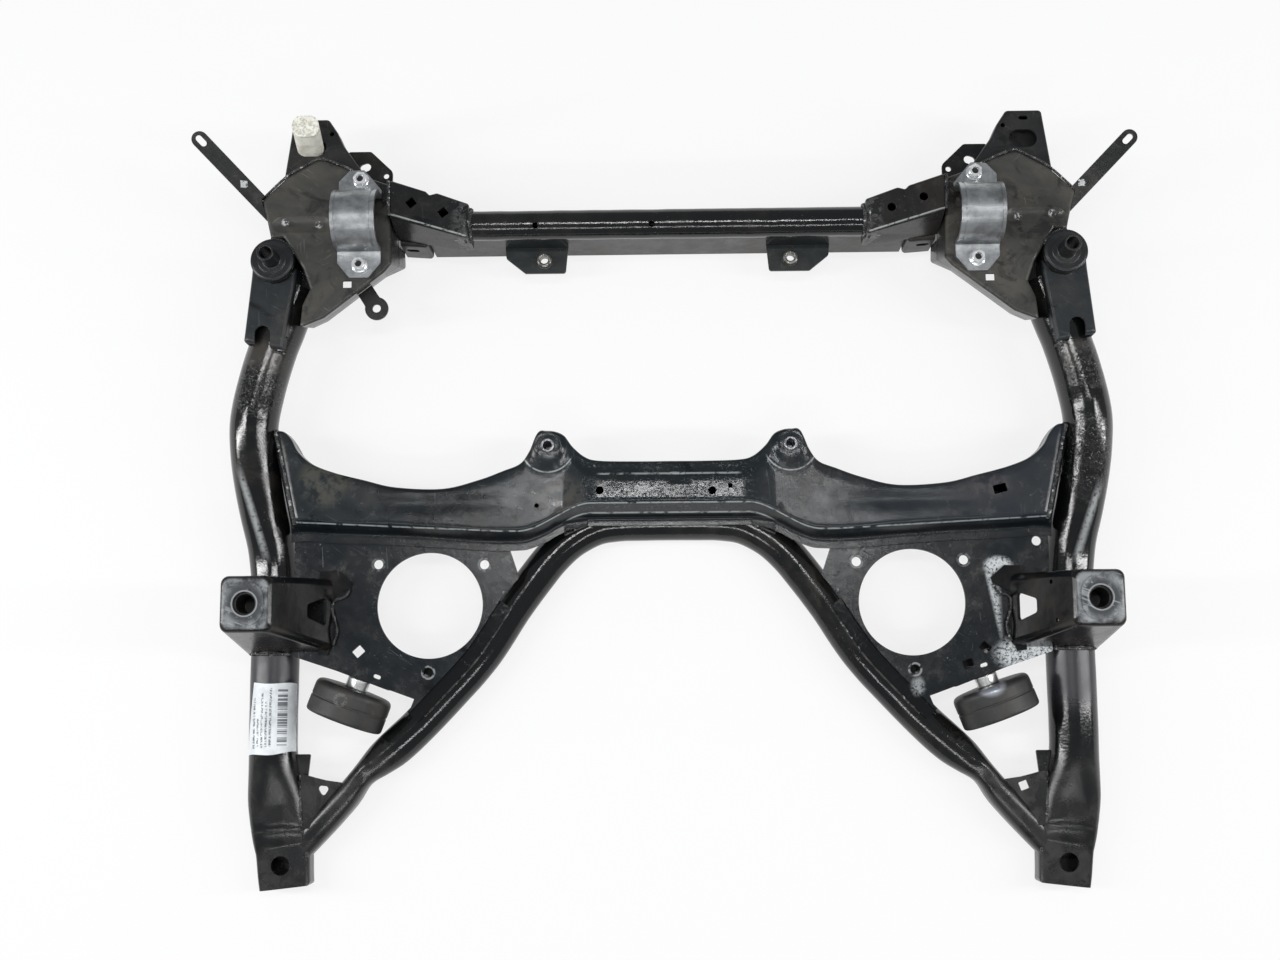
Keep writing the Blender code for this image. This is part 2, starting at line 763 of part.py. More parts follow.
def engine_mount_plates():
    step = 14.0
    edge = brace_side(step, 6, 10)
    axis = Vector((math.sin(DAMPER_TURN), -math.cos(DAMPER_TURN)))
    along = Vector((axis.y, -axis.x))
    face = Vector(DAMPER_CENTRE[:2]) - axis * (DAMPER_LENGTH / 2 + SPACER_LENGTH)
    outline = [(391.0, -44.0), (391.0, -164.0), tuple(face - along * 26.5), (270.0, -207.0)]
    outline += edge[::-1]
    outline += [(160.0, -80.0), (173.0, -49.0)]
    holes = [
        circle(MOUNT_CENTRE, MOUNT_BORE, 28),
        circle((310.0, -65.0), MOUNT_BOLT_HOLE, 12),
        circle((197.0, -66.0), MOUNT_BOLT_HOLE, 12),
        circle((255.5, -179.5), MOUNT_BOLT_HOLE, 12),
        rectangle((329.5, -157.0), 11.0, 9.0, -42.0),
    ]
    base = plate("engine_mount_plate", outline, MOUNT_PLATE_TOP, SHEET, holes)
    strip = brace_side(1.0, 6, 10) + brace_side(step + SHEET, 6, 10)[::-1]
    flange = plate("mount_brace_flange", strip, MOUNT_FLANGE_TOP, SHEET, cutter=True)
    rise = brace_side(step + 0.6, 6, 10, 1.3) + brace_side(step + SHEET - 0.4, 6, 10, 1.3)[::-1]
    low = MOUNT_FLANGE_TOP - SHEET / 2
    riser = plate("mount_riser", rise, MOUNT_PLATE_TOP - 0.5, MOUNT_PLATE_TOP - 0.5 - low, cutter=True)
    high = MOUNT_PLATE_TOP - 0.6
    skirt_line = [(386.5, high), (391.4, high), (402.0, 30.0), (398.5, 30.0)]
    skirt = plate("mount_skirt", skirt_line, 0, 75.0, cutter=True)
    lengthways(skirt, -157.0, -82.0)
    low = DAMPER_CENTRE[2] - 18
    end, other = face - along * 22, face + along * 34
    tab_line = [tuple(point) for point in (end, other, other - axis * SHEET, end - axis * SHEET)]
    tab = plate("mount_damper_flange", tab_line, high, high - low, cutter=True)
    join(base, flange, riser, skirt, tab)
    stud_hole = rod("stud_hole", STUD_OD + 2 * GAP, -60, 60, (0, 0))
    stud_hole.matrix_basis = damper_frame()
    cut(base, RAIL_CUT, BRACE_CUT, stud_hole)
    paint(base, shade=1.6, roughness=0.42)
    right, left = both_sides(base, "engine_mount_plate")
    cut(right, plate("right_square", rectangle((311.0, -174.0), 12.0, 9.0, 18.0), 60, 20, cutter=True))
    cut(right, plate("right_slot", oval((327.4, -175.5), 8.0, 4.0, 20.0, 4), 58, 21, cutter=True))


def dampers():
    length, outer, size = DAMPER_LENGTH / 2, DAMPER_OD / 2, DAMPER_ROUND
    bore = STUD_OD / 2 + GAP
    depth = length - DAMPER_SKIN
    profile = [(0.0, length)]
    profile += arc((outer - size, length - size), size, 90, 0, 2)
    profile += arc((outer - size, -length + size), size, 0, -90, 2)
    profile += [(bore, -length), (bore, depth), (0.0, depth)]
    drum = turned("damper_drum", profile, 28)
    drum.matrix_basis = damper_frame()
    finish(drum, (0.022, 0.022, 0.022), 0.6, 0.0, smooth=True)
    both_sides(drum, "damper_drum")
    face = -length - GAP
    seat = -length - SPACER_LENGTH + GAP
    stud = STUD_OD / 2
    spacer = SPACER_OD / 2
    profile = [
        (0.0, depth - GAP),
        (stud, depth - GAP),
        (stud, face),
        (spacer, face),
        (spacer, seat),
        (stud, seat),
        (stud, seat - 9),
        (0.0, seat - 9),
    ]
    stud = turned("damper_stud", profile, 12)
    stud.matrix_basis = damper_frame()
    finish(stud, (0.55, 0.56, 0.56), 0.35, 0.9, smooth=True)
    both_sides(stud, "damper_stud")


# Towers

def towers():
    half_x, half_y = TOWER_WIDTH / 2, TOWER_LENGTH / 2
    x, y = TOWER_CENTRE
    low = 30.0
    fall = (TOWER_TOP - low) / (TOWER_TOP - MOUNT_PLATE_TOP)
    top = [
        (x - half_x, y - half_y),
        (x + half_x, y - half_y),
        (x + half_x, y + half_y),
        (x - half_x, y + half_y),
    ]
    foot = [
        (TOWER_FOOT_X + 4, TOWER_FOOT_REAR),
        (TOWER_SIDE_X, TOWER_FOOT_REAR),
        (TOWER_SIDE_X, TOWER_FOOT_FRONT),
        (TOWER_FOOT_X + 4, TOWER_FOOT_FRONT),
    ]
    base = [tuple(Vector(a) + (Vector(b) - Vector(a)) * fall) for a, b in zip(top, foot)]
    edge = [tuple(Vector(a) + (Vector(b) - Vector(a)) * 0.02) for a, b in zip(top, foot)]
    levels = [(top, -2.0, TOWER_TOP), (edge, 0.0, TOWER_TOP - 2), (base, 0.0, low)]
    tower = lid("tower", levels, SHEET, 7.0)
    lip_top = MOUNT_PLATE_TOP + GAP + SHEET
    lip = [(372.0, -72.0), (352.0, -71.0), (337.0, -84.0), (339.0, -90.0)]
    lip += arc((300.0, -113.0), 56.5, 16, -22, 4)
    lip += [(362.0, -161.0), (372.0, -160.0)]
    foot_plate = plate("tower_lip", lip, lip_top, SHEET, cutter=True)
    join(tower, foot_plate)
    slack = 60.0
    below = block("tower_below_plate", (300, -200, 0), (403.0, -40, MOUNT_PLATE_TOP + GAP))
    window_line = [(-100.0, 61.0), (-131.0, 61.0), (-123.0, 90.0), (-109.0, 90.0)]
    window = plate("tower_window", window_line, 0, 60.0, cutter=True)
    sideways(window, 340.0, 400.0)
    hollow = block("tower_slack", (TOWER_SIDE_X - 1, -200, 0), (TOWER_SIDE_X + slack, -40, 34.0))
    hole = rod("tower_hole", TOWER_HOLE, TOWER_TOP - 10, TOWER_TOP + 5, TOWER_CENTRE)
    inside = [tuple(Vector(a) + (Vector(b) - Vector(a)) * 0.97) for a, b in zip(top, foot)]
    room = plate("tower_room", rounded(inside, 6.0, -SHEET - 0.5), lip_top + 1, SHEET + 3, cutter=True)
    cut(tower, room, below, RAIL_CUT, window, hollow, hole)
    paint(tower)
    both_sides(tower, "tower")
    seat = TOWER_TOP - SHEET - GAP
    outer, bore = SLEEVE_OD / 2, SLEEVE_BORE / 2
    profile = [(outer, seat), (outer, seat - SLEEVE_LENGTH), (bore, seat - SLEEVE_LENGTH), (bore, seat)]
    sleeve = turned("tower_sleeve", profile, 16)
    sleeve.location = (TOWER_CENTRE[0] * MM, TOWER_CENTRE[1] * MM, 0)
    finish(sleeve, (0.05, 0.05, 0.05), 0.5, 0.8, smooth=True)
    both_sides(sleeve, "tower_sleeve")


# Front corners

CORNER = [
    (432.0, 321.0, 3),
    (406.0, 346.0, 6),
    (371.0, 366.0, 14),
    (346.0, 357.0, 10),
    (330.0, 349.0, 3),
    (CORNER_INNER_X + 4, 337.0, 3),
    (CORNER_INNER_X, 250.0, 4),
    (CORNER_INNER_X + 7, 241.0, 4),
    (363.0, 192.0, 3),
    (388.0, 182.0, 2),
    (386.0, 206.0, 2),
    (378.0, 224.0, 2),
    (386.0, 246.0, 3),
    (408.0, 281.0, 3),
    (421.0, 279.0, 3),
    (427.0, 305.0, 5),
]
# The walls lean inwards at the rear inner corner: these corners at the height of CORNER_SKIRT replace
# the ones of CORNER with the same places in the list.
CORNER_FOOT = {
    6: (CORNER_INNER_X + 0.8, 267.0, 4),
    7: (CORNER_INNER_X + 20, 258.0, 4),
    8: (376.0, 209.0, 3),
    9: (386.0, 204.0, 2),
    10: (384.0, 214.0, 2),
}
EAR = [
    (352.0, 340.0),
    (352.0, 384.0, 6),
    (346.0, 387.0),
    (323.0, 387.0, 5),
    (CORNER_INNER_X + 6, 364.0, 7),
    (CORNER_INNER_X + 6, 340.0),
]
BARREL_CUT = rod("barrel_cutter", BARREL_OD + 2 * GAP, 0, 160, BUSH, sides=20)


def corner_at(height):
    """The corner's outline at a height, between CORNER at the top and CORNER_FOOT at the skirt's edge."""
    share = (CORNER_TOP - height) / (CORNER_TOP - CORNER_FLOOR_TOP + CORNER_SKIRT)
    outline = []
    for place, (x, y, radius) in enumerate(CORNER):
        end_x, end_y, _ = CORNER_FOOT.get(place, (x, y, radius))
        outline.append((x + (end_x - x) * share, y + (end_y - y) * share, radius))
    return outline


def corner_cutter(name, grow, side=1, height=CORNER_TOP):
    """The corner's outline at a height grown by a distance, to trim the pieces that butt against its walls."""
    outline = [(side * x, y) for x, y in rounded(corner_at(height), 3.0, grow)]
    return plate(name, outline, 130, 140, cutter=True)


def corner_plates():
    floor = CORNER_FLOOR_TOP + GAP
    levels = [
        (CORNER, -1.2, CORNER_TOP),
        (corner_at(CORNER_TOP - 2), 0.6, CORNER_TOP - 2),
        (corner_at(floor), 3.0, floor),
    ]
    corner = lid("corner_plate", levels, SHEET)
    radius = 20.0
    groove_line = arc((294.0, CORNER_TOP + radius - GROOVE_DEPTH), radius, -20, -160, 8)
    groove = sideways(plate("corner_groove", groove_line, 0, 54.0, cutter=True), 362.0, 416.0)
    cut(corner, groove)
    for number, y in enumerate(CLAMP_BOLT_Y):
        name = f"corner_bolt_hole_{number}"
        cut(corner, rod(name, BOLT_HOLE, CORNER_TOP - 8, CORNER_TOP + 5, (CLAMP_X - 1, y)))
    square = rectangle((339.0, 228.0), 9.5, 7.5, 0.0)
    cut(corner, plate("corner_square", square, CORNER_TOP + 5, 20, cutter=True))
    cut(corner, BARREL_CUT, RAIL_CUT)
    paint(corner, shade=3.0, roughness=0.55)
    both_sides(corner, "corner_plate")

    low = CORNER_FLOOR_TOP - CORNER_SKIRT
    top = CORNER_FLOOR_TOP
    levels = [(corner_at(top), 2.0, top), (corner_at(top - 2), 3.2, top - 2), (corner_at(low), 5.0, low)]
    pan = lid("corner_lower_plate", levels, SHEET)
    holes = [oval((329.0, 369.0), 12.0, 9.0, -20.0, 4), circle((306.0, 359.0), 6.0, 10)]
    ear = plate("ear", rounded(EAR, 2.0), top - 0.4, SHEET, holes, cutter=True)
    square = plate("corner_lower_square", rectangle((347.2, 238.5), 13.0, 11.0), top + 5, 15, cutter=True)
    join(pan, ear)
    cut(pan, square, BARREL_CUT, RAIL_CUT)
    paint(pan, shade=1.4, roughness=0.4)
    both_sides(pan, "corner_lower_plate")


def front_brackets():
    corners = [
        (415.0, 335.0, 2),
        (404.0, FRONT_EDGE_Y, 4),
        (366.0, FRONT_EDGE_Y, 5),
        (356.0, 402.0, 4),
        (349.0, 387.0, 4),
        (329.0, 359.0, 3),
        (340.0, 335.0, 2),
    ]
    low = CORNER_FLOOR_TOP + GAP
    top = FRONT_BRACKET_TOP
    bracket = lid("front_bracket", [(corners, -1.2, top), (corners, 0.0, top - 1.5), (corners, 0.0, low)], SHEET)
    floor_top = low + 0.6 + SHEET
    floor = plate("front_bracket_floor", rounded(corners, 3.0, -1.0, 1), floor_top, SHEET, cutter=True)
    join(bracket, floor)
    keep_out = corner_cutter("front_bracket_trim", 3.0 + GAP)
    top = FRONT_BRACKET_TOP + 5
    hole = plate("front_bracket_hole", oval((383.0, 385.0), 30.0, 20.0, 0.0, 6), top, 15, cutter=True)
    slot = plate("front_bracket_slot", oval((384.0, 408.0), 10.0, 4.5, 0.0, 4), top, 15, cutter=True)
    pin = rod("front_bracket_pin", 5.0, top - 15, top, (362.0, 400.0), sides=10)
    cut(bracket, keep_out, hole, slot, pin)
    paint(bracket, shade=1.8, roughness=0.5)
    both_sides(bracket, "front_bracket")

    wide, deep = 30.0 - 2 * GAP, 20.0 - 2 * GAP
    plug_line = oval((-383.0, 385.0), wide, deep, 0.0, 6)
    plug = plate("plug", plug_line, PLUG_TOP, PLUG_TOP - floor_top - GAP)
    rear, front = 385.0 - deep / 2, 385.0 + deep / 2
    slope_line = [(rear - 1, PLUG_REAR_TOP), (front - 2, PLUG_TOP + 0.5), (rear - 1, PLUG_TOP + 0.5)]
    slope = plate("plug_slope", slope_line, 0, 60.0, cutter=True)
    sideways(slope, -383.0 - wide, -383.0 + wide)
    finish(cut(plug, slope), (0.62, 0.60, 0.50), 0.6, 0.0)


def stay_bar(name, tip_height):
    """A flat bar that rises outwards from the corner box, drawn along its own X from the root."""
    root, tip = Vector(STAY_FROM), Vector(STAY_TO)
    run, climb = (tip - root).length, tip_height - STAY_ROOT
    length = math.hypot(run, climb)
    half = STAY_WIDTH / 2
    outline = [(-8.0, half), (-8.0, -half), *arc((length, 0), half, -90, 90, 8)]
    hole = oval((length - 2, 0), 13.0, 6.5, 0.0, 4)
    stay = plate(name, outline, STRAP / 2, STRAP, [hole])
    place = Matrix.Translation(Vector((*root, STAY_ROOT)) * MM)
    turn = Matrix.Rotation(math.atan2(tip.y - root.y, tip.x - root.x), 4, "Z")
    rise = Matrix.Rotation(-math.atan2(climb, run), 4, "Y")
    stay.matrix_basis = place @ turn @ rise
    return paint(cut(stay, corner_cutter(f"{name}_trim", 1.2 + GAP)), roughness=0.5)


def stays():
    """Both stays. The left one is bent further up than the right one."""
    stay_bar("right_stay", STAY_TIP)
    steep = stay_bar("stay_steep", STAY_TIP_LEFT)
    mirrored(steep, "left_stay")
    bpy.data.objects.remove(steep, do_unlink=True)


def bar_clamps():
    """A half-moon strap with two feet, drawn in (y, z) and run along X."""
    foot = CORNER_TOP + GAP
    middle = sum(CLAMP_BOLT_Y) / 2
    radius = CLAMP_ARCH_RADIUS
    spring = CLAMP_TOP - radius
    low, high = CLAMP_BOLT_Y
    face, bore = foot + STRAP, radius - STRAP
    outer = [(low - CLAMP_FOOT, face), (middle - radius - 4, face), (middle - radius, face + 4)]
    outer += arc((middle, spring), radius, 180, 0, 12)
    outer += [(middle + radius, face + 4), (middle + radius + 4, face), (high + CLAMP_FOOT, face)]
    inner = [(high + CLAMP_FOOT, foot), (middle + bore + 1, foot), (middle + bore, foot + 2)]
    inner += arc((middle, spring), bore, 0, 180, 12)
    inner += [(middle - bore, foot + 2), (middle - bore - 1, foot), (low - CLAMP_FOOT, foot)]
    strap = plate("bar_clamp", outer + inner, 0, CLAMP_WIDTH)
    sideways(strap, CLAMP_X - CLAMP_WIDTH / 2, CLAMP_X + CLAMP_WIDTH / 2)
    x, half = CLAMP_X, CLAMP_WIDTH / 2 + 1
    plan = [
        (x - half, low + 4),
        (x - 10, low - CLAMP_FOOT),
        (x + 10, low - CLAMP_FOOT),
        (x + half, low + 4),
        (x + half, high - 2),
        (x + 12, high + CLAMP_FOOT - 2),
        (x - 4, high + CLAMP_FOOT - 1),
        (x - half, high - 12),
    ]
    keep = plate("clamp_plan", plan, CLAMP_TOP + 5, 80, cutter=True)
    boolean(strap, keep, "INTERSECT")
    for number, y in enumerate(CLAMP_BOLT_Y):
        cut(strap, rod(f"clamp_hole_{number}", BOLT_HOLE, foot - 5, foot + STRAP + 5, (x - 1, y)))
    finish(strap, (0.33, 0.34, 0.35), 0.42, 0.85, smooth=True)
    both_sides(strap, "bar_clamp")

    seat = STRAP + 2 * GAP
    tip = seat + BOLT_FLANGE + BOLT_HEAD + BOLT_TIP
    bolt = rod("clamp_bolt", BOLT_OD, -BOLT_REACH, tip, (0, 0), 12, cutter=False)
    base = bolt.location.z
    bolt.location = (0, 0, 0)
    bolt.data.transform(Matrix.Translation((0, 0, base)))
    flange = rod("bolt_flange", BOLT_FLANGE_OD, seat, seat + BOLT_FLANGE, (0, 0), 20)
    across = BOLT_FLATS / math.cos(math.pi / 6)
    head = rod("bolt_head", across, seat + BOLT_FLANGE / 2, seat + BOLT_FLANGE + BOLT_HEAD, (0, 0), 6)
    join(bolt, flange, head)
    shared = evaluated_mesh(bolt)
    bpy.data.objects.remove(bolt, do_unlink=True)
    for side, sign in (("right", 1), ("left", -1)):
        for place, y in zip(("rear", "front"), CLAMP_BOLT_Y):
            copy = add_object(f"{side}_clamp_bolt_{place}", shared.copy())
            copy.location = (sign * (CLAMP_X - 1) * MM, y * MM, CORNER_TOP * MM)
            finish(copy, (0.62, 0.64, 0.66), 0.25, 1.0)


def bushes():
    """A welded barrel, a rubber ring in it, and a spool whose collar sits on the barrel."""
    place = (BUSH[0] * MM, BUSH[1] * MM, 0)
    seat = COLLAR_TOP - COLLAR_THICK
    barrel_top = seat - GAP
    outer, inner = BARREL_OD / 2, BARREL_OD / 2 - BARREL_WALL
    profile = [(outer, barrel_top), (outer, BARREL_BOTTOM), (inner, BARREL_BOTTOM), (inner, barrel_top)]
    barrel = turned("bush_barrel", profile, 20)
    barrel.location = place
    paint(barrel, smooth=True)
    both_sides(barrel, "bush_barrel")

    spool_radius = SPOOL_OD / 2
    profile = [
        (inner - GAP, barrel_top - 1),
        (inner - GAP, BARREL_BOTTOM + 3),
        (spool_radius + GAP, BARREL_BOTTOM + 3),
        (spool_radius + GAP, barrel_top - 1),
    ]
    rubber = turned("bush_rubber", profile, 16)
    rubber.location = place
    finish(rubber, (0.012, 0.012, 0.012), 0.8, 0.0, smooth=True)
    both_sides(rubber, "bush_rubber")

    bore = SPOOL_BORE / 2
    profile = [
        (bore, SPOOL_TOP),
        (spool_radius, SPOOL_TOP),
        (spool_radius, COLLAR_TOP),
        (COLLAR_OD / 2 - 0.8, COLLAR_TOP),
        (COLLAR_OD / 2, COLLAR_TOP - 0.8),
        (COLLAR_OD / 2, seat),
        (spool_radius, seat),
        (spool_radius, BARREL_BOTTOM - 2),
        (bore, BARREL_BOTTOM - 2),
    ]
    spool = turned("bush_spool", profile, 20)
    spool.location = place
    finish(spool, (0.018, 0.018, 0.018), 0.38, 0.3, smooth=True)
    both_sides(spool, "bush_spool")


def channel_brackets():
    corners = [
        (395.5, 250.0, 2),
        (396.0, 235.0, 2),
        (407.5, 160.0, 2),
        (450.0, 169.0, 3),
        (443.5, 240.0, 2),
        (443.0, 250.0, 2),
    ]
    top, low = CHANNEL_TOP, RAIL_FRONT_Z - 4
    channel = lid("channel_bracket", [(corners, -1.2, top), (corners, 0.0, top - 2), (corners, 0.4, low)], SHEET)
    room_line = placed([(-30, -12), (30, -12), (30, 12), (-30, 12)], (429.0, 160.0), -8.0)
    room = plate("channel_room", room_line, top - SHEET - 0.5, 60, cutter=True)
    notch = [(421.5, 145.0), (421.5, 177.0), *arc((429.8, 178.0), 8.3, 172, 8, 6), (438.1, 177.0), (438.1, 145.0)]
    mouth = plate("channel_notch", notch[::-1], top + 5, 20, cutter=True)
    keep_out = corner_cutter("channel_corner_trim", 5.0 + GAP)
    cut(channel, room, mouth, RAIL_CUT, BARREL_CUT, keep_out)
    paint(channel, shade=2.2, roughness=0.4)
    both_sides(channel, "channel_bracket")


# Front cross tube, its brackets and the lower beam

def front_cross_tube():
    stations = [
        (x, FRONT_TUBE_Y, FRONT_TUBE_Z, FRONT_TUBE_OD, FRONT_TUBE_OD, 2.0)
        for x in (-FRONT_TUBE_HALF, FRONT_TUBE_HALF)
    ]
    beam = tube("front_cross_tube", stations, FRONT_TUBE_WALL)
    for number, x in enumerate((-139.0, -16.0)):
        cut(beam, rod(f"tube_hole_{number}", 6.5, FRONT_TUBE_Z, FRONT_TUBE_Z + 40, (x, 287.0), sides=12))
    paint(beam, smooth=True)
    return tube("front_tube_cutter", stations, grow=GAP)


def beam_brackets(tube_cut):
    upper = [
        (CORNER_INNER_X + 1, 338.0, 3),
        (255.0, 325.0, 4),
        (251.0, 321.0, 2),
        (243.0, 323.0, 4),
        (BRACKET_TIP_X, 310.6, 3),
        (BRACKET_TIP_X, 272.4, 3),
        (CORNER_INNER_X + 1, 298.0, 3),
    ]
    foot = upper[:-1] + [(CORNER_INNER_X + 1, 286.0, 3)]
    high, low = BRACKET_TOP, BRACKET_TOP - BRACKET_DEPTH
    levels = [(upper, -1.2, high), (upper, 0.0, high - 2), (foot, 0.0, low)]
    bracket = lid("beam_bracket", levels, SHEET)
    floor = plate("beam_bracket_floor", rounded(foot, 3.0, -1.0, 1), low + 0.6 + SHEET, SHEET, cutter=True)
    join(bracket, floor)
    cut(bracket, corner_cutter("beam_bracket_trim", 3.0 + GAP), tube_cut)
    paint(bracket, roughness=0.4)
    right, left = both_sides(bracket, "beam_bracket")
    for number, centre in enumerate(((270.0, 312.0), (236.0, 301.0))):
        cut(right, rod(f"bracket_hole_{number}", 9.0, high - 10, high + 5, centre, sides=HOLE_SIDES))
        square_line = rectangle((-centre[0], centre[1]), 9.0, 9.0, 38.0)
        cut(left, plate(f"bracket_square_{number}", square_line, high + 5, 15, cutter=True))

    inner, outer = BEAM_HALF + GAP, CORNER_INNER_X + 7
    corners = [(outer, 326.0), (inner, 322.0), (inner, 278.0), (outer, 281.0)]
    high = low - GAP
    levels = [(corners, -1.2, high), (corners, 0.0, high - 2), (corners, 0.0, 20.0)]
    lower = lid("beam_lower_bracket", levels, SHEET)
    side_hole = plate("lower_bracket_hole", circle((CORNER_INNER_X - 15, 48.0), 9.0, 12), 0, 30, cutter=True)
    lengthways(side_hole, 270.0, 292.0)
    cut(lower, side_hole, corner_cutter("lower_bracket_trim", 5.0 + GAP))
    paint(lower, roughness=0.45)
    both_sides(lower, "beam_lower_bracket")


def lower_front_beam():
    """A channel under the front tube, open at the front."""
    wall = SHEET
    section = [
        (BEAM_FRONT_Y, BEAM_TOP),
        (BEAM_REAR_Y, BEAM_TOP),
        (BEAM_REAR_Y, BEAM_BOTTOM),
        (BEAM_FRONT_Y, BEAM_BOTTOM),
        (BEAM_FRONT_Y, BEAM_BOTTOM + wall),
        (BEAM_REAR_Y + wall, BEAM_BOTTOM + wall),
        (BEAM_REAR_Y + wall, BEAM_TOP - wall),
        (BEAM_FRONT_Y, BEAM_TOP - wall),
    ]
    beam = sideways(plate("lower_front_beam", section, 0, 2 * BEAM_HALF), -BEAM_HALF, BEAM_HALF)
    for sign in (-1, 1):
        end = (BRACKET_TIP_X - 1) * sign, (BEAM_HALF + 5) * sign
        low = (min(end), BEAM_REAR_Y - 10, BRACKET_TOP - BRACKET_DEPTH - 2 * GAP)
        high = (max(end), BEAM_FRONT_Y + 10, BEAM_TOP + 5)
        cut(beam, block(f"beam_end_cut_{sign}", low, high))
    paint(beam, shade=0.8, roughness=0.5)

    rear = BEAM_REAR_Y - GAP
    corners = [(111.0, 253.0, 3), (155.0, 253.0, 3), (176.0, 270.0, 4), (177.0, rear), (108.0, rear)]
    outline = rounded(corners, 1.0)
    hanger = plate("hanger_bracket", outline, HANGER_TOP, SHEET)
    back_line = [(108.0, HANGER_TOP - 1), (177.0, HANGER_TOP - 1), (168.0, BEAM_TOP - 4), (117.0, BEAM_TOP - 4)]
    back = plate("hanger_back", back_line, 0, SHEET, cutter=True)
    lengthways(back, rear - SHEET, rear)
    join(hanger, back)
    centre = (134.0, 266.0)
    cut(hanger, rod("hanger_hole", 9.0, HANGER_TOP - 10, HANGER_TOP + 5, centre))
    paint(hanger, shade=1.2, roughness=0.45)
    both_sides(hanger, "hanger_bracket")
    seat = HANGER_TOP + GAP
    outer, bore, crown = NUT_OD / 2, 4.2, seat + NUT_HEIGHT
    profile = [(outer - 1, crown), (outer, crown - 1), (outer, seat), (bore, seat), (bore, crown)]
    nut = turned("hanger_nut", profile, 12)
    nut.location = (centre[0] * MM, centre[1] * MM, 0)
    finish(nut, (0.20, 0.20, 0.19), 0.4, 0.8, smooth=True)
    both_sides(nut, "hanger_nut")


# Small welded pieces

def small_pieces():
    corners = [
        (390.0, -284.0),
        (376.0, -288.0, 3),
        (364.0, -291.0),
        (343.0, -294.0, 2),
        (352.0, -315.0),
        (380.0, -341.0),
        (392.0, -340.0),
    ]
    outline = rounded(corners, 1.0)
    gusset = plate("foot_gusset", outline, 36.0, SHEET)
    cut(gusset, RAIL_CUT, BRACE_CUT)
    paint(gusset)
    right, left = both_sides(gusset, "foot_gusset")
    cut(right, plate("gusset_square", rectangle((367.0, -300.0), 9.0, 9.0, 20.0), 60, 50, cutter=True))
    triangle = rounded([(-360.0, -297.0, 2), (-374.0, -295.0, 2), (-370.0, -306.0, 2)], 2.0)
    cut(left, plate("gusset_triangle", triangle, 60, 50, cutter=True))

    inner, outer = RAIL_END_X - 25.0, RAIL_END_X + 3.0
    lug_line = [(inner, -264.0), (outer, -264.0), (outer, -289.0), (inner + 2.5, -289.0)]
    lug = cut(plate("rail_lug", lug_line, 30.0, SHEET), RAIL_CUT)
    paint(lug)
    both_sides(lug, "rail_lug")

    neck = Vector((-330.0, 236.0))
    centre = Vector((-312.0, 208.0))
    along = (centre - neck).normalized()
    side = Vector((-along.y, along.x)) * 9.0
    end = math.degrees(math.atan2(along.y, along.x))
    outline = [tuple(neck + side), tuple(neck - side), tuple(centre - along * 11 - side)]
    outline += arc(tuple(centre), 12.5, end - 132, end + 132, 14)
    outline += [tuple(centre - along * 11 + side)]
    tab = plate("ring_tab", outline, RING_TAB_TOP, SHEET, [circle(tuple(centre), 9.0, 14)])
    cut(tab, corner_cutter("ring_tab_trim", 2.4 + GAP, side=-1, height=RING_TAB_TOP))
    paint(tab, shade=1.5, roughness=0.5)

    points = []
    columns, rows = 7, 5
    start, ends = 14.0, (128.0, 148.0)
    corners_y = ((-190.0, -261.0), (-189.0, -265.0))
    stations = rail_stations()
    for skin in (2 * GAP, 2 * GAP + LABEL_THICK):
        for row in range(rows):
            for column in range(columns):
                share = column / (columns - 1)
                first = corners_y[0][0] + (corners_y[1][0] - corners_y[0][0]) * share
                last = corners_y[0][1] + (corners_y[1][1] - corners_y[0][1]) * share
                y = first + (last - first) * row / (rows - 1)
                x, z, width, height = along_rail(stations, y)
                end = ends[0] + (ends[1] - ends[0]) * row / (rows - 1)
                angle = math.radians(start + (end - start) * share)
                reach_x, reach_z = width / 2 + skin, height / 2 + skin
                points.append((-x + reach_x * math.cos(angle), y, z + reach_z * math.sin(angle)))
    faces = sheet_faces(rows, columns)
    label = add_object("rail_label", mesh_of("rail_label", points, faces))
    finish(label, (0.78, 0.79, 0.78), 0.45, 0.0)


def along_rail(stations, y):
    """The rail's centre x, z, width and height at a place along Y."""
    for before, after in zip(stations, stations[1:]):
        if before[1] <= y <= after[1]:
            share = (y - before[1]) / (after[1] - before[1])
            mixed = [a + (b - a) * share for a, b in zip(before, after)]
            return mixed[0], mixed[2], mixed[3], mixed[4]
    raise ValueError("the label lies off the rail")


def sheet_faces(rows, columns):
    """Faces of a thin closed sheet whose two skins are grids of the same size."""
    faces = []
    size = rows * columns
    for row in range(rows - 1):
        for column in range(columns - 1):
            a = row * columns + column
            quad = (a, a + 1, a + 1 + columns, a + columns)
            faces.append(quad[::-1])
            faces.append(tuple(index + size for index in quad))
    rim = [column for column in range(columns)]
    rim += [row * columns + columns - 1 for row in range(1, rows)]
    rim += [(rows - 1) * columns + column for column in range(columns - 2, -1, -1)]
    rim += [row * columns for row in range(rows - 2, 0, -1)]
    for a, b in zip(rim, rim[1:] + rim[:1]):
        faces.append((a, b, b + size, a + size))
    return faces


side_rails()
v_brace()
crossmember()
engine_mount_plates()
dampers()
towers()
corner_plates()
front_brackets()
stays()
bar_clamps()
bushes()
channel_brackets()
beam_brackets(front_cross_tube())
lower_front_beam()
small_pieces()
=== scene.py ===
"""Front-axle subframe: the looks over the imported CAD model.

Shapes are drawn in millimetres about a datum on the crossmember, as in the CAD model, and place()
turns them into metres in the CAD frame. Pieces in pairs are drawn at +X and mirrored to -X.
"""

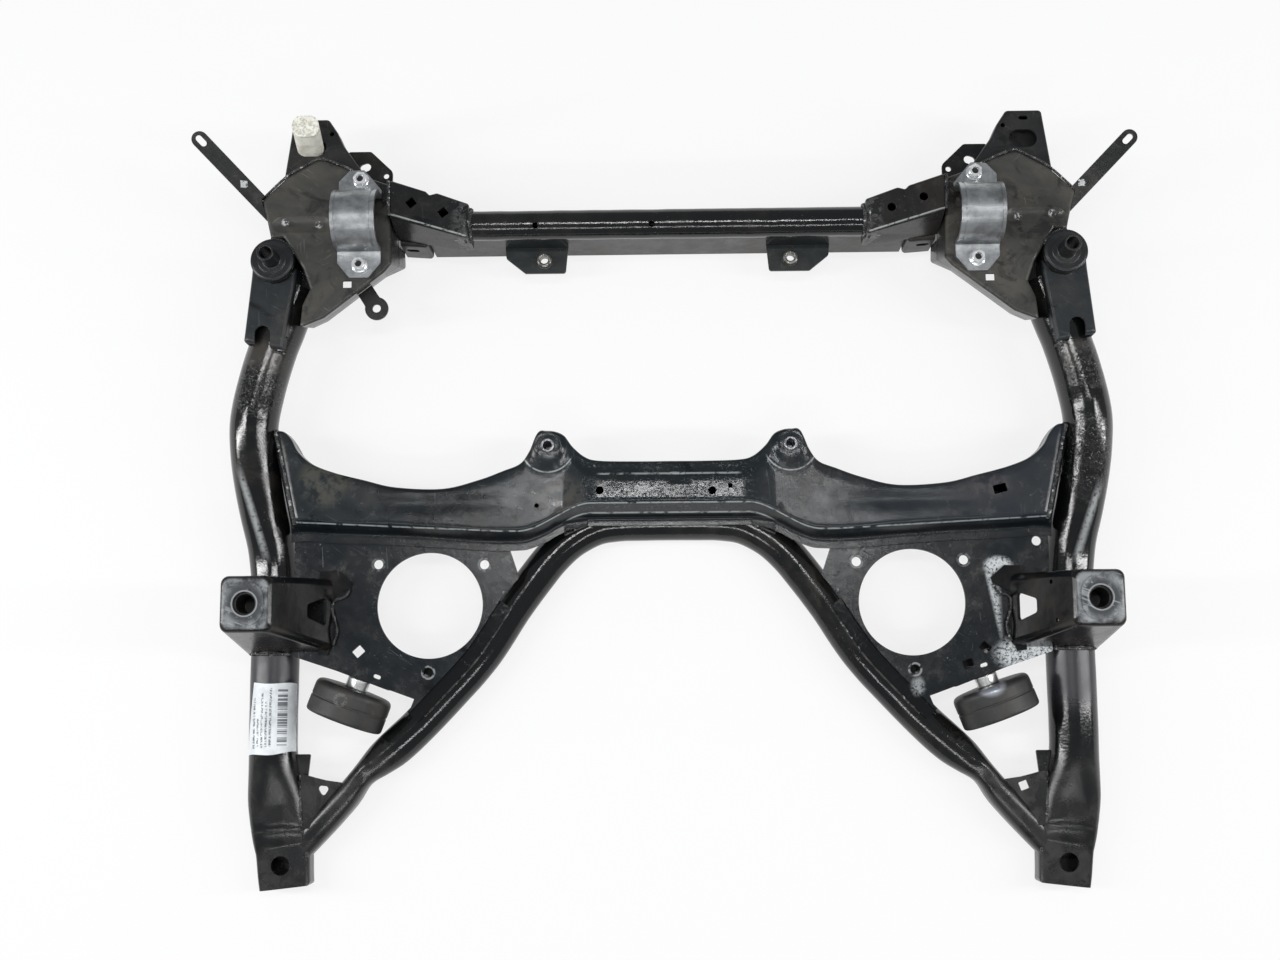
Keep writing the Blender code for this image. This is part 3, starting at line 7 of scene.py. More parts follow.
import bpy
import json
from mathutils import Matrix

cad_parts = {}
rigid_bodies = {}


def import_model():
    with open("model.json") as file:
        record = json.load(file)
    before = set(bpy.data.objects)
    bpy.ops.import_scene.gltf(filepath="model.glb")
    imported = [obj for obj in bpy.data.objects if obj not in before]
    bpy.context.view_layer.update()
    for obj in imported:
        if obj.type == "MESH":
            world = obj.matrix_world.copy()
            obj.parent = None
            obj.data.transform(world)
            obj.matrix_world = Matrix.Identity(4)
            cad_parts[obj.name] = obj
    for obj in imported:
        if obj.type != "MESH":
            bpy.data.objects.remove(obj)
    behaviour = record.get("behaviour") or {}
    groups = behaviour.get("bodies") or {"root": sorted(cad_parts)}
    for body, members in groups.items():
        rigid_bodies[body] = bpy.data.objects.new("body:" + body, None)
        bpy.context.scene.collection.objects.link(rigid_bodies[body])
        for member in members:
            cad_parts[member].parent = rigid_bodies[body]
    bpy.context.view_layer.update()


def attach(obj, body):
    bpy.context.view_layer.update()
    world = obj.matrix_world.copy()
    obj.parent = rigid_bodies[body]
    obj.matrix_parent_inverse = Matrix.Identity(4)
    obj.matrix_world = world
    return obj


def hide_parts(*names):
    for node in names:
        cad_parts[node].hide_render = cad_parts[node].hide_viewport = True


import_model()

import json
import math
from contextlib import contextmanager

import bmesh
import bpy
from mathutils import Matrix, Vector, noise
from mathutils.bvhtree import BVHTree

MM = 0.001
DATUM_Y = -6.0
GAP = 0.3
SHEET = 3.0
STRAP = 4.0
ROUND_SIDES = 40
HOLE_SIDES = 32
CORNER_STEPS = 5

# Levels above the floor
BRACE_OD = 40.0
BRACE_Z = BRACE_OD / 2 + 1.0
BRACE_TOP = BRACE_Z + BRACE_OD / 2
MOUNT_TOP = 49.0
CROSS_SPLIT = MOUNT_TOP + GAP
CROSS_TOP = 70.0
CROSS_SWAGE = 5.0
TOWER_TOP = 145.0
CORNER_TOP = 100.0
PAN_TOP = 65.0
CHANNEL_TOP = 92.0
TUBE_Y, TUBE_Z, TUBE_OD = 291.5, 95.0, 31.0
BRACKET_TOP = TUBE_Z + TUBE_OD / 2 + GAP + SHEET

# Places seen from above
RAIL_X = 423.5
RAIL_OD = 51.0
RAIL_BOLT = (411.0, -379.0)
MOUNT_CENTRE = (254.5, -109.0)
BLIND_NUT = (255.5, -179.5)
HANGER_NUT = (134.0, 266.0)
GROOVE_Y, GROOVE_RADIUS, GROOVE_DEPTH = 294.0, 20.0, 2.2
RACK_BOSS = (128.5, 58.0)
TOWER_CENTRE = (426.0, -111.5)
CLAMP_X = 326.0
CLAMP_BOLTS = (247.0, 340.0)
BUSH = (419.0, 255.0)
DAMPER_CENTRE = (339.5, -213.0, 42.0)
DAMPER_TURN = math.radians(20.7)


# Materials, written as expressions

class Term:
    """A shader socket that Python's operators turn into Math nodes."""

    def __init__(self, finish, socket):
        self.finish, self.socket = finish, socket

    def math(self, operation, *others, clamp=False):
        made = self.finish.node("ShaderNodeMath", {"operation": operation, "use_clamp": clamp})
        for socket, value in zip(made.inputs, (self, *others)):
            self.finish.put(socket, value)
        return Term(self.finish, made.outputs[0])

    def __add__(self, other):
        return self.math("ADD", other)

    def __mul__(self, other):
        return self.math("MULTIPLY", other)

    def __sub__(self, other):
        return self.math("SUBTRACT", other)

    def __rsub__(self, other):
        return (self * -1.0).math("ADD", other)

    def __truediv__(self, other):
        return self.math("DIVIDE", other)

    def __pow__(self, other):
        return self.math("POWER", other)

    __radd__ = __add__
    __rmul__ = __mul__

    def ramp(self, low, high):
        """0 below low, 1 above high, smooth between; the other way round if low is the larger."""
        values = {"From Min": low, "From Max": high, "Value": self}
        made = self.finish.node("ShaderNodeMapRange", {"interpolation_type": "SMOOTHSTEP"}, values)
        return Term(self.finish, made.outputs[0])

    def size(self):
        return self.math("ABSOLUTE")

    def least(self, other):
        return self.math("MINIMUM", other)

    def most(self, other):
        return self.math("MAXIMUM", other)


class Finish:
    """A material on Object coordinates, which are metres in the CAD frame."""

    def __init__(self, name, **fixed):
        self.material = bpy.data.materials.new(name)
        self.material.use_nodes = True
        self.tree = self.material.node_tree
        self.shader = self.tree.nodes["Principled BSDF"]
        for key, value in fixed.items():
            self.shader.inputs[key.replace("_", " ").title().replace("Ior", "IOR")].default_value = value
        self.at = self.node("ShaderNodeTexCoord").outputs["Object"]
        split = self.node("ShaderNodeSeparateXYZ", values={0: self.at})
        self.x, self.y, self.z = (Term(self, socket) for socket in split.outputs)
        self.stacked = None

    def node(self, kind, settings=None, values=None):
        made = self.tree.nodes.new(kind)
        for key, value in (settings or {}).items():
            setattr(made, key, value)
        for key, value in (values or {}).items():
            self.put(made.inputs[key], value)
        return made

    def put(self, socket, value):
        source = getattr(value, "socket", value)
        if isinstance(source, bpy.types.NodeSocket):
            self.tree.links.new(source, socket)
        elif isinstance(source, (tuple, list)) and len(source) == 3 and socket.type == "RGBA":
            socket.default_value = (*source, 1.0)
        else:
            socket.default_value = source

    def stretched(self, scale, turn=0.0):
        """Coordinates scaled per axis after a turn about Z, in degrees."""
        spin = {0: self.at, "Angle": math.radians(turn)}
        spun = self.node("ShaderNodeVectorRotate", {"rotation_type": "Z_AXIS"}, spin)
        size = {0: spun.outputs[0], 1: scale}
        return self.node("ShaderNodeVectorMath", {"operation": "MULTIPLY"}, size).outputs[0]

    def grain(self, scale, detail=2.0, rough=0.5, at=None, warp=0.0):
        values = {"Vector": at or self.at, "Scale": scale, "Detail": detail, "Roughness": rough}
        values["Distortion"] = warp
        made = self.node("ShaderNodeTexNoise", values=values)
        return Term(self, made.outputs[0])

    def flecks(self, scale, level, soft=0.03):
        """Small spots of uneven shape; a higher level leaves fewer."""
        return self.grain(scale, 3.0, 0.62, warp=0.7).ramp(level, level + soft)

    def scratches(self, turn, density=0.70, long=30.0, fine=640.0):
        """Short thin marks along one direction, in clusters."""
        lines = self.grain(1.0, 1.0, 0.4, self.stretched((long, fine, fine * 0.5), turn))
        return lines.ramp(density, density + 0.04) * self.grain(27.0 + turn * 0.1, 2.0).ramp(0.50, 0.58)

    def mix(self, factor, one, two):
        made = self.node("ShaderNodeMix", {"data_type": "RGBA"}, {0: factor, 6: one, 7: two})
        return made.outputs[2]

    def far(self, x, y, squash=1.0):
        """Distance in plan from a point given in datum millimetres."""
        across = (self.x - x * MM) * squash
        along = self.y - (y + DATUM_Y) * MM
        return (across * across + along * along) ** 0.5

    def near(self, x, y, reach, soft=0.5, squash=1.0):
        """1 around a point in plan (datum millimetres), fading out at reach."""
        return self.far(x, y, squash).ramp(reach * MM, reach * soft * MM)

    def bump(self, height, distance, strength=1.0):
        values = {"Height": height, "Distance": distance, "Strength": strength}
        if self.stacked:
            values["Normal"] = self.stacked
        self.stacked = self.node("ShaderNodeBump", values=values).outputs[0]
        self.tree.links.new(self.stacked, self.shader.inputs["Normal"])

    def set(self, **sockets):
        for key, value in sockets.items():
            self.put(self.shader.inputs[key.replace("_", " ").title()], value)
        return self.material


def dip_paint():
    """Gloss black dip paint on the tubes: smudges, brown film, dust on the outer sides, wet patches with
    painted glints, and painted highlight streaks along the rail tops.
    """
    make = Finish("dip_paint_gloss_black", specular_ior_level=0.5)
    cloud = make.grain(9.0, 4.0, 0.6)
    smudge = make.grain(38.0, 5.0, 0.62, warp=0.6)
    film = cloud.ramp(0.46, 0.7) * smudge.ramp(0.36, 0.6)
    colour = make.mix(film * 0.7, (0.0042, 0.0046, 0.0048), (0.021, 0.019, 0.016))
    outer = make.x.size().ramp(0.452, 0.468) * make.y.ramp(-0.05, 0.03)
    colour = make.mix(outer * 0.45, colour, (0.030, 0.027, 0.023))
    under_channel = make.near(-431, 152, 26, 0.5).most(make.near(431, 148, 20, 0.5))
    colour = make.mix(under_channel * 0.7, colour, (0.058, 0.052, 0.046))
    dull = make.near(-424, -172, 60, 0.3).most(make.near(424, -185, 52, 0.3))
    colour = make.mix(dull * 0.7, colour, (0.026, 0.026, 0.033))
    dust = make.flecks(620.0, 0.66) * make.grain(24.0, 2.0).ramp(0.5, 0.62)
    colour = make.mix(dust * 0.5, colour, (0.15, 0.15, 0.145))
    feet = make.y.ramp(-0.262, -0.30)
    colour = make.mix(feet * smudge.ramp(0.42, 0.6) * 0.6, colour, (0.022, 0.021, 0.020))
    wet_left = make.near(-440, 122, 34, 0.4)
    wet_right = make.near(446, 138, 30, 0.4).most(make.near(442, 40, 52, 0.3, 1.6))
    wet = wet_left.most(wet_right) * make.grain(210.0, 4.0, 0.7, warp=1.2).ramp(0.50, 0.58)
    colour = make.mix(wet_left.most(wet_right) * 0.8, colour, (0.0032, 0.0034, 0.0036))
    # Painted glints: bright flecks in the wet patches stand in for highlights on the wet-look paint.
    colour = make.mix(wet * make.flecks(420.0, 0.60) * 0.45, colour, (0.42, 0.43, 0.43))
    # Painted highlights: pale streaks along the tops of both rails, where a lamp's highlight lies on the
    # tube.
    left = (make.x + 0.4433 + (make.y + 0.0165) * 0.29).size().ramp(0.0062, 0.0004)
    left = left * make.y.ramp(-0.072, -0.050) * make.y.ramp(0.040, 0.010)
    right = (make.x - 0.4406 - (make.y + 0.033) * 0.32).size().ramp(0.0066, 0.0004)
    right = right * make.y.ramp(-0.078, -0.060) * make.y.ramp(0.016, -0.010)
    painted_highlight_streak = left.most(right) * make.grain(240.0, 5.0, 0.7).ramp(0.30, 0.52)
    colour = make.mix(painted_highlight_streak * 0.6, colour, (0.48, 0.50, 0.50))
    rough = 0.10 + smudge.ramp(0.45, 0.75) * 0.07 + film * 0.07 + dull * 0.22 + feet * 0.16 + dust * 0.3
    peel = make.grain(520.0, 2.0, 0.5)
    wave = make.grain(64.0, 3.0, 0.55)
    make.bump(wave, 0.0004, 0.4)
    make.bump(peel + wet * 5.0, 0.00018, 0.6)
    return make.set(base_color=colour, roughness=rough.least(0.6))


def sheet_finish(name, base, brown, gloss=0.30, dusty=0.5, grime=0.5, scratched=1.0):
    """Satin paint on the pressings: cloudy brown film, dark smears, fine scratches and pale specks."""
    make = Finish(name, specular_ior_level=0.38)
    cloud = make.grain(11.0, 5.0, 0.6, warp=0.8)
    fine = make.grain(70.0, 5.0, 0.66)
    colour = make.mix(cloud.ramp(0.45, 0.68) * grime, base, brown)
    smear = make.grain(16.0, 4.0, 0.55, at=make.stretched((1.0, 2.2, 1.0), 24.0), warp=1.2).ramp(0.60, 0.72)
    colour = make.mix(smear * 0.75, colour, tuple(0.3 * part for part in base))
    marks = make.scratches(31.0, 0.69).most(make.scratches(-38.0, 0.70, 36.0, 700.0))
    marks = marks.most(make.scratches(86.0, 0.70, 26.0, 540.0)) * scratched
    colour = make.mix(marks * 0.35, colour, tuple(min(1.0, 5.0 * part) for part in base))
    dots = make.flecks(560.0, 0.69) * make.grain(15.0, 3.0).ramp(0.46, 0.6)
    colour = make.mix(dots * dusty * 0.8, colour, (0.30, 0.31, 0.31))
    soil = fine.ramp(0.52, 0.7) * cloud.ramp(0.38, 0.6)
    colour = make.mix(soil * 0.35 * dusty, colour, (0.085, 0.078, 0.068))
    rough = gloss + fine.ramp(0.35, 0.75) * 0.09 + cloud.ramp(0.4, 0.7) * 0.07 + dots * 0.2 - smear * 0.08
    make.bump(make.grain(90.0, 3.0, 0.5), 0.0006, 0.35)
    make.bump(make.grain(800.0, 2.0, 0.5) - marks * 0.6 + dots * 0.7, 0.00012, 0.5)
    return make, colour, rough


def cross_paint():
    """The crossmember's blue-grey paint, with dusty ends, a wet, specked middle, painted shade on its lower
    walls and painted highlight lines along its creases.
    """
    make, colour, rough = sheet_finish(
        "crossmember_satin_paint", (0.0085, 0.0125, 0.0150), (0.020, 0.018, 0.017), 0.18, 0.6, 0.6
    )
    # Painted shade: the walls and rear flange below 62.5 mm are darkened as if in shadow.
    low = make.z.ramp(0.0625, 0.0590)
    colour = make.mix(low * 0.6, colour, (0.0045, 0.0055, 0.0065))
    right = make.x.ramp(0.10, 0.30) * (1.0 - low)
    colour = make.mix(right * 0.5, colour, (0.021, 0.025, 0.031))
    olive = make.near(-366, 22, 34, 0.5) * make.grain(60.0, 4.0, 0.65).ramp(0.36, 0.54)
    colour = make.mix(olive * 0.8, colour, (0.060, 0.060, 0.050))
    mauve = make.near(337, 14, 22, 0.4, 0.8) * make.grain(80.0, 4.0, 0.65).ramp(0.40, 0.56)
    colour = make.mix(mauve * 0.7, colour, (0.060, 0.053, 0.058))
    dark = make.near(-260, -6, 46, 0.4, 0.5) * make.grain(30.0, 4.0, 0.6, warp=1.0).ramp(0.42, 0.56)
    colour = make.mix(dark * 0.7, colour, (0.0045, 0.0055, 0.0060))
    apex = make.near(-118, 6, 30, 0.35, 0.8) * make.grain(50.0, 4.0, 0.65).ramp(0.42, 0.55)
    colour = make.mix(apex * 0.5, colour, (0.085, 0.078, 0.070))
    wet = make.x.size().ramp(0.105, 0.075) * (1.0 - low)
    spots = make.flecks(420.0, 0.60) * wet * make.grain(34.0, 3.0).ramp(0.44, 0.56)
    colour = make.mix(spots * 0.25, colour, (0.30, 0.31, 0.31))
    # Painted highlights: pale lines along the rear crease, the bend below it, the swage's front edge and the
    # arcs round the ear seats, broken up by a wear-like noise.
    side = make.x.size()
    crease = side.ramp(0.083, 0.160) * -0.0285 - 0.010 + (side - 0.178).most(0.0) * 0.052
    worn = make.grain(120.0, 4.0, 0.65).ramp(0.36, 0.50)
    painted_ridge_highlight = (make.y - crease).size().ramp(0.0010, 0.0003) * make.z.ramp(0.064, 0.066)
    painted_bend_highlight = (make.y - crease + 0.0085).size().ramp(0.0010, 0.0003) * side.ramp(0.115, 0.100)
    swage = (make.y - 0.0208).size().ramp(0.0016, 0.0004) * side.ramp(0.078, 0.070)
    seat = ((side - 0.1285) * (side - 0.1285) + (make.y - 0.052) * (make.y - 0.052)) ** 0.5
    seat = (seat - 0.0285).size().ramp(0.0011, 0.0003) * make.y.ramp(0.042, 0.034) * make.z.ramp(0.060, 0.064)
    lines = painted_ridge_highlight.most(painted_bend_highlight).most(swage).most(seat) * worn
    colour = make.mix(lines * 0.75, colour, (0.36, 0.39, 0.39))
    drops = make.grain(260.0, 3.0, 0.6).ramp(0.52, 0.62) * wet
    make.bump(drops, 0.0002, 0.6)
    return make.set(base_color=colour, roughness=(rough - wet * 0.10).least(0.6))


def mount_paint():
    """The engine-mount plates, with pale rims at the bolt holes, overspray by the right tower, and near-black
    low parts: the brace flange's paint, and painted shade in the recesses and on the lower walls.
    """
    make, colour, rough = sheet_finish(
        "mount_plate_satin_paint", (0.0062, 0.0086, 0.0108), (0.016, 0.015, 0.014), 0.16, 0.7, 0.55
    )
    # Darker below 45.8 mm: the flange beside the brace is near-black paint like the tube, and the same
    # darkening is painted shade in the square cages, the nut bore and on the lower walls.
    low = make.z.ramp(0.0458, 0.0440)
    colour = make.mix(low * 0.95, colour, (0.0036, 0.0040, 0.0042))
    for sign in (-1, 1):
        for x, y, share in ((310, -65, 0.25), (197, -66, 0.30), (255.5, -179.5, 0.6)):
            ring = (make.far(sign * x, y) - 0.0064).size().ramp(0.0014, 0.0007)
            ring = ring * make.grain(260.0, 2.0).ramp(0.4, 0.52)
            colour = make.mix(ring * share, colour, (0.34, 0.36, 0.36))
    edge = make.x - 0.3301 + (make.y + 0.0788) * 0.196
    patch = edge.ramp(-0.001, 0.0035) * make.x.ramp(0.350, 0.342)
    patch = patch * make.y.ramp(-0.160, -0.150) * make.y.ramp(-0.080, -0.088)
    patch = patch.most(make.near(346, -72, 13, 0.5, 0.7)).most(make.near(372, -164, 24, 0.5, 0.6))
    patch = patch.most(make.near(258, -197, 13, 0.4, 1.4) * 0.45) * make.x.ramp(0.0, 0.01)
    spray = patch * make.grain(380.0, 5.0, 0.75).ramp(0.38, 0.54)
    colour = make.mix(spray * 0.9, colour, (0.60, 0.63, 0.64))
    return make.set(base_color=colour, roughness=(rough - low * 0.16).most(0.1).least(0.62))


def tower_paint():
    """The towers: glossy brown-black faces and a worn, silvery pad on top."""
    make, colour, rough = sheet_finish(
        "tower_paint_worn", (0.0042, 0.0046, 0.0050), (0.026, 0.020, 0.014), 0.16, 0.45, 0.9
    )
    top = make.z.ramp(0.1425, 0.1440)
    across = make.x.size() - 0.426
    along = make.y + 0.1175
    far = (across * across + along * along) ** 0.5
    cloud = make.grain(60.0, 4.0, 0.65)
    rim = far.ramp(0.0150, 0.0240) * cloud.ramp(0.34, 0.62)
    scuffed = make.scratches(20.0, 0.60, 40.0, 420.0).most(make.grain(130.0, 5.0, 0.7).ramp(0.56, 0.66))
    colour = make.mix(top * 0.9, colour, (0.030, 0.034, 0.038))
    colour = make.mix(top * rim * 0.85, colour, (0.27, 0.285, 0.295))
    colour = make.mix(top * scuffed * 0.5, colour, (0.36, 0.38, 0.39))
    ring = (far - 0.0126).size().ramp(0.0012, 0.0006) * top
    colour = make.mix(ring * 0.5, colour, (0.40, 0.42, 0.43))
    lip = make.z.ramp(0.058, 0.053)
    colour = make.mix(lip * 0.8, colour, (0.0034, 0.0036, 0.0038))
    make.bump(scuffed * top, 0.0002, 0.4)
    return make.set(base_color=colour, roughness=(rough + top * 0.12 - lip * 0.06).most(0.08).least(0.6))


def corner_paint():
    """The front corner boxes: dusty brown-grey with dark oily patches by the clamps, glossy walls darkened
    with painted shade, and painted glints at the groove's ends.
    """
    make, colour, rough = sheet_finish(
        "corner_box_dusty_paint", (0.038, 0.038, 0.035), (0.072, 0.066, 0.055), 0.34, 0.6, 0.8
    )
    murk = make.grain(34.0, 5.0, 0.65, warp=0.8)
    colour = make.mix(murk.ramp(0.50, 0.64) * 0.75, colour, (0.0095, 0.0095, 0.0090))
    oily = make.x.size() - 0.302
    oily = oily.size().ramp(0.034, 0.018) * make.y.ramp(0.285, 0.31)
    oily = oily * make.grain(75.0, 5.0, 0.7).ramp(0.42, 0.52)
    colour = make.mix(oily * 0.85, colour, (0.006, 0.006, 0.006))
    # Painted shade: the walls below the lid's top edge are darkened as if in shadow, and made a little
    # glossier.
    wall = make.z.ramp(0.0985, 0.0965)
    colour = make.mix(wall * 0.8, colour, (0.0065, 0.0070, 0.0070))
    groove = make.near(394, 294, 30, 0.6, 0.8)
    glints = make.near(371, 294, 5, 0.4).most(make.near(-371, 294, 5, 0.4))
    glints = glints.most(make.near(407, 297, 5, 0.4)).most(make.near(-407, 297, 5, 0.4))
    glints = glints * make.grain(330.0, 4.0, 0.7).ramp(0.46, 0.54)
    colour = make.mix(glints * 0.8, colour, (0.55, 0.57, 0.57))
    rough = rough - oily * 0.18 - groove * 0.16 - wall * 0.08
    return make.set(base_color=colour, roughness=rough.most(0.16).least(0.66))


def plain_sheet(name, base, brown, gloss, dusty=0.5, grime=0.5, scratched=1.0):
    make, colour, rough = sheet_finish(name, base, brown, gloss, dusty, grime, scratched)
    return make.set(base_color=colour, roughness=rough.least(0.68))


def stay_paint():
    """The stays, each with a small plain pale patch near its root."""
    make, colour, rough = sheet_finish(
        "stay_paint", (0.0090, 0.0098, 0.0100), (0.022, 0.020, 0.018), 0.26, 0.8, 0.6
    )
    for x, y in ((439.1, 323.4), (-448.1, 329.0)):
        away = (make.x - x * MM).size().most((make.y - y * MM).size())
        patch = away.ramp(0.0037, 0.0031) * make.grain(400.0, 3.0, 0.6).ramp(0.36, 0.46)
        colour = make.mix(patch * 0.85, colour, (0.55, 0.57, 0.57))
    return make.set(base_color=colour, roughness=rough.least(0.66))


def bracket_paint():
    """The front tube's end brackets: near-black, blotched and rough where they were welded, with a painted
    highlight line along the rib.
    """
    make, colour, rough = sheet_finish(
        "bracket_gloss_paint", (0.0072, 0.0078, 0.0080), (0.022, 0.018, 0.015), 0.22, 0.5, 0.7
    )
    burnt = (make.x.size() - 0.217).size().ramp(0.014, 0.004) * make.grain(130.0, 4.0, 0.7).ramp(0.46, 0.60)
    colour = make.mix(burnt * 0.4, colour, (0.10, 0.105, 0.105))
    # Painted highlight: a pale broken line along the rear edge of the rib, where a lamp's highlight lies.
    painted_ridge_highlight = (make.y - 0.2704 - (make.x.size() - 0.216) * 0.307).size().ramp(0.0013, 0.0004)
    painted_ridge_highlight = painted_ridge_highlight * make.z.ramp(0.1125, 0.1135) * make.grain(90.0, 4.0, 0.6).ramp(0.40, 0.50)
    colour = make.mix(painted_ridge_highlight * 0.75, colour, (0.42, 0.44, 0.44))
    make.bump(burnt * make.grain(300.0, 3.0, 0.6), 0.0005, 0.7)
    return make.set(base_color=colour, roughness=rough.least(0.62))


def clamp_zinc():
    """Dull cast-looking zinc with darker handling marks."""
    make = Finish("clamp_dull_zinc")
    cloud = make.grain(48.0, 5.0, 0.62)
    fine = make.grain(420.0, 3.0, 0.6)
    colour = make.mix(cloud.ramp(0.36, 0.66), (0.44, 0.455, 0.465), (0.22, 0.23, 0.235))
    stain = make.grain(26.0, 4.0, 0.6, warp=0.9).ramp(0.56, 0.70)
    colour = make.mix(stain * 0.6, colour, (0.075, 0.075, 0.070))
    rough = 0.26 + cloud.ramp(0.3, 0.7) * 0.14 + fine * 0.06
    make.bump(make.grain(170.0, 3.0, 0.6), 0.0004, 0.4)
    make.bump(fine, 0.00012, 0.5)
    return make.set(base_color=colour, roughness=rough, metallic=0.86)


def bright_steel(name, colour, dark, rough, metallic=1.0, shaded_recesses=()):
    """Plated or bare steel, mottled by handling, with painted shade in any recesses."""
    make = Finish(name)
    cloud = make.grain(150.0, 4.0, 0.6)
    tone = make.mix(cloud.ramp(0.42, 0.66), colour, dark)
    # Painted shade: the recess in each bolt head is painted near-black as if in shadow.
    for x, y in shaded_recesses:
        tone = make.mix(make.near(x, y, 3.9, 0.86) * 0.95, tone, (0.012, 0.012, 0.012))
    make.bump(make.grain(900.0, 2.0, 0.5), 0.00008, 0.5)
    return make.set(base_color=tone, roughness=rough + cloud * 0.18, metallic=metallic)


def damper_iron():
    """Blackened cast iron, with a worn bright patch on the right drum that is also a painted highlight, and a
    faint round mark on the left.
    """
    make = Finish("damper_blackened_iron")
    cloud = make.grain(34.0, 5.0, 0.65)
    fine = make.grain(330.0, 4.0, 0.65)
    colour = make.mix(cloud.ramp(0.40, 0.66), (0.0125, 0.0130, 0.0135), (0.028, 0.026, 0.023))
    rust = make.grain(60.0, 4.0, 0.6).ramp(0.62, 0.74)
    colour = make.mix(rust * 0.3, colour, (0.09, 0.065, 0.042))
    # Worn bright metal patch on the right drum's upper front edge; its pale bluish colour is also a painted
    # highlight where the lamps catch that edge.
    worn = make.near(326, -196, 15, 0.5, 0.8) * make.z.ramp(0.066, 0.072)
    worn = worn * make.grain(150.0, 4.0, 0.6).ramp(0.30, 0.48)
    colour = make.mix(worn * 0.9, colour, (0.36, 0.38, 0.42))
    mark = (make.far(-340.5, -207.5) - 0.0055).size().ramp(0.0024, 0.0010)
    mark = mark * make.z.ramp(0.078, 0.081) * fine.ramp(0.40, 0.55)
    colour = make.mix(mark * 0.5, colour, (0.15, 0.15, 0.15))
    make.bump(fine, 0.00035, 0.5)
    return make.set(base_color=colour, roughness=(0.44 - worn * 0.2 + fine * 0.1), metallic=worn * 0.7)


def rubber_finish():
    make = Finish("bush_rubber_black")
    bloom = make.grain(120.0, 4.0, 0.6)
    colour = make.mix(bloom.ramp(0.45, 0.7), (0.010, 0.010, 0.010), (0.030, 0.030, 0.029))
    make.bump(make.grain(600.0, 3.0, 0.6), 0.0002, 0.5)
    return make.set(base_color=colour, roughness=0.62 + bloom * 0.2)


def plug_finish():
    """Ivory plastic foam: smooth sides, rough and soiled on the slanted top."""
    make = Finish("plug_ivory_plastic", subsurface_weight=0.04, subsurface_scale=0.004)
    cell = make.grain(380.0, 5.0, 0.7)
    soil = make.grain(95.0, 4.0, 0.65)
    top = make.z.ramp(0.120, 0.124)
    colour = make.mix(soil.ramp(0.40, 0.68), (0.76, 0.75, 0.67), (0.56, 0.545, 0.47))
    colour = make.mix(top * cell.ramp(0.46, 0.60) * 0.6, colour, (0.30, 0.29, 0.25))
    make.bump(cell * (top * 0.85 + 0.15), 0.0007, 0.8)
    return make.set(base_color=colour, roughness=0.55 + soil * 0.2)


def label_finish():
    """White film with plain bars and rows of short dashes, along the rail."""
    make = Finish("label_white_film")
    x = make.x * 1000.0
    y = make.y * 1000.0
    bars = make.grain(1.0, 0.0, 0.0, make.stretched((1.0, 1150.0, 0.0))).ramp(0.50, 0.53)
    bar_zone = x.ramp(-413.8, -413.0) * x.ramp(-404.0, -404.8)
    bar_zone = bar_zone * y.ramp(-261.0, -260.0) * y.ramp(-201.0, -202.0)
    ink = bars * bar_zone
    rows = {-420.5: (-262, -200), -425.0: (-262, -214), -429.5: (-263, -205), -434.0: (-263, -232)}
    rows[-438.5] = (-264, -210)
    for row, (low, high) in rows.items():
        line = (x - row).size().ramp(1.5, 0.9) * y.ramp(low, low + 1) * y.ramp(high, high - 1)
        marks = make.grain(1.0, 1.0, 0.6, make.stretched((300.0, 720.0, 0.0))).ramp(0.46, 0.52)
        ink = ink.most(line * marks)
    crease = make.grain(70.0, 3.0, 0.6)
    colour = make.mix(crease.ramp(0.4, 0.7), (0.74, 0.77, 0.79), (0.60, 0.63, 0.65))
    colour = make.mix(ink * 0.86, colour, (0.05, 0.055, 0.07))
    make.bump(crease, 0.0009, 0.4)
    return make.set(base_color=colour, roughness=0.34 + crease * 0.2)


def weld_finish():
    """Weld bead under paint: near-black, with bright glints on the ripples."""
    make = Finish("weld_bead_painted")
    burnt = make.grain(110.0, 4.0, 0.65)
    colour = make.mix(burnt.ramp(0.42, 0.62), (0.014, 0.015, 0.016), (0.055, 0.052, 0.050))
    glint = make.grain(240.0, 3.0, 0.6).ramp(0.58, 0.68)
    colour = make.mix(glint * 0.8, colour, (0.52, 0.54, 0.55))
    make.bump(make.grain(500.0, 3.0, 0.6), 0.0003, 0.6)
    return make.set(base_color=colour, roughness=0.18 + burnt * 0.2)


PAINT = dip_paint()
CROSS = cross_paint()
MOUNT = mount_paint()
TOWER = tower_paint()
CORNER_PAINT = corner_paint()
PAN_PAINT = plain_sheet("corner_pan_paint", (0.0055, 0.0062, 0.0066), (0.020, 0.017, 0.014), 0.22, 0.5, 0.7)
FRONT_PAINT = plain_sheet(
    "front_bracket_paint", (0.0130, 0.0140, 0.0145), (0.028, 0.025, 0.022), 0.30, 0.6, 0.6
)
CHANNEL_PAINT = plain_sheet(
    "channel_smooth_paint", (0.016, 0.019, 0.021), (0.030, 0.028, 0.026), 0.28, 0.5, 0.6, 0.8
)
BRACKET = bracket_paint()
BEAM_PAINT = plain_sheet("lower_beam_paint", (0.0100, 0.0095, 0.0088), (0.030, 0.024, 0.019), 0.32, 0.4, 0.8)
HANGER_PAINT = plain_sheet("hanger_paint", (0.0150, 0.0190, 0.0200), (0.024, 0.023, 0.022), 0.30, 0.5, 0.4)
COLLAR = plain_sheet("bush_collar_paint", (0.0105, 0.0115, 0.0125), (0.022, 0.021, 0.020), 0.30, 0.35, 0.5)
STAY_PAINT = stay_paint()
ZINC = clamp_zinc()
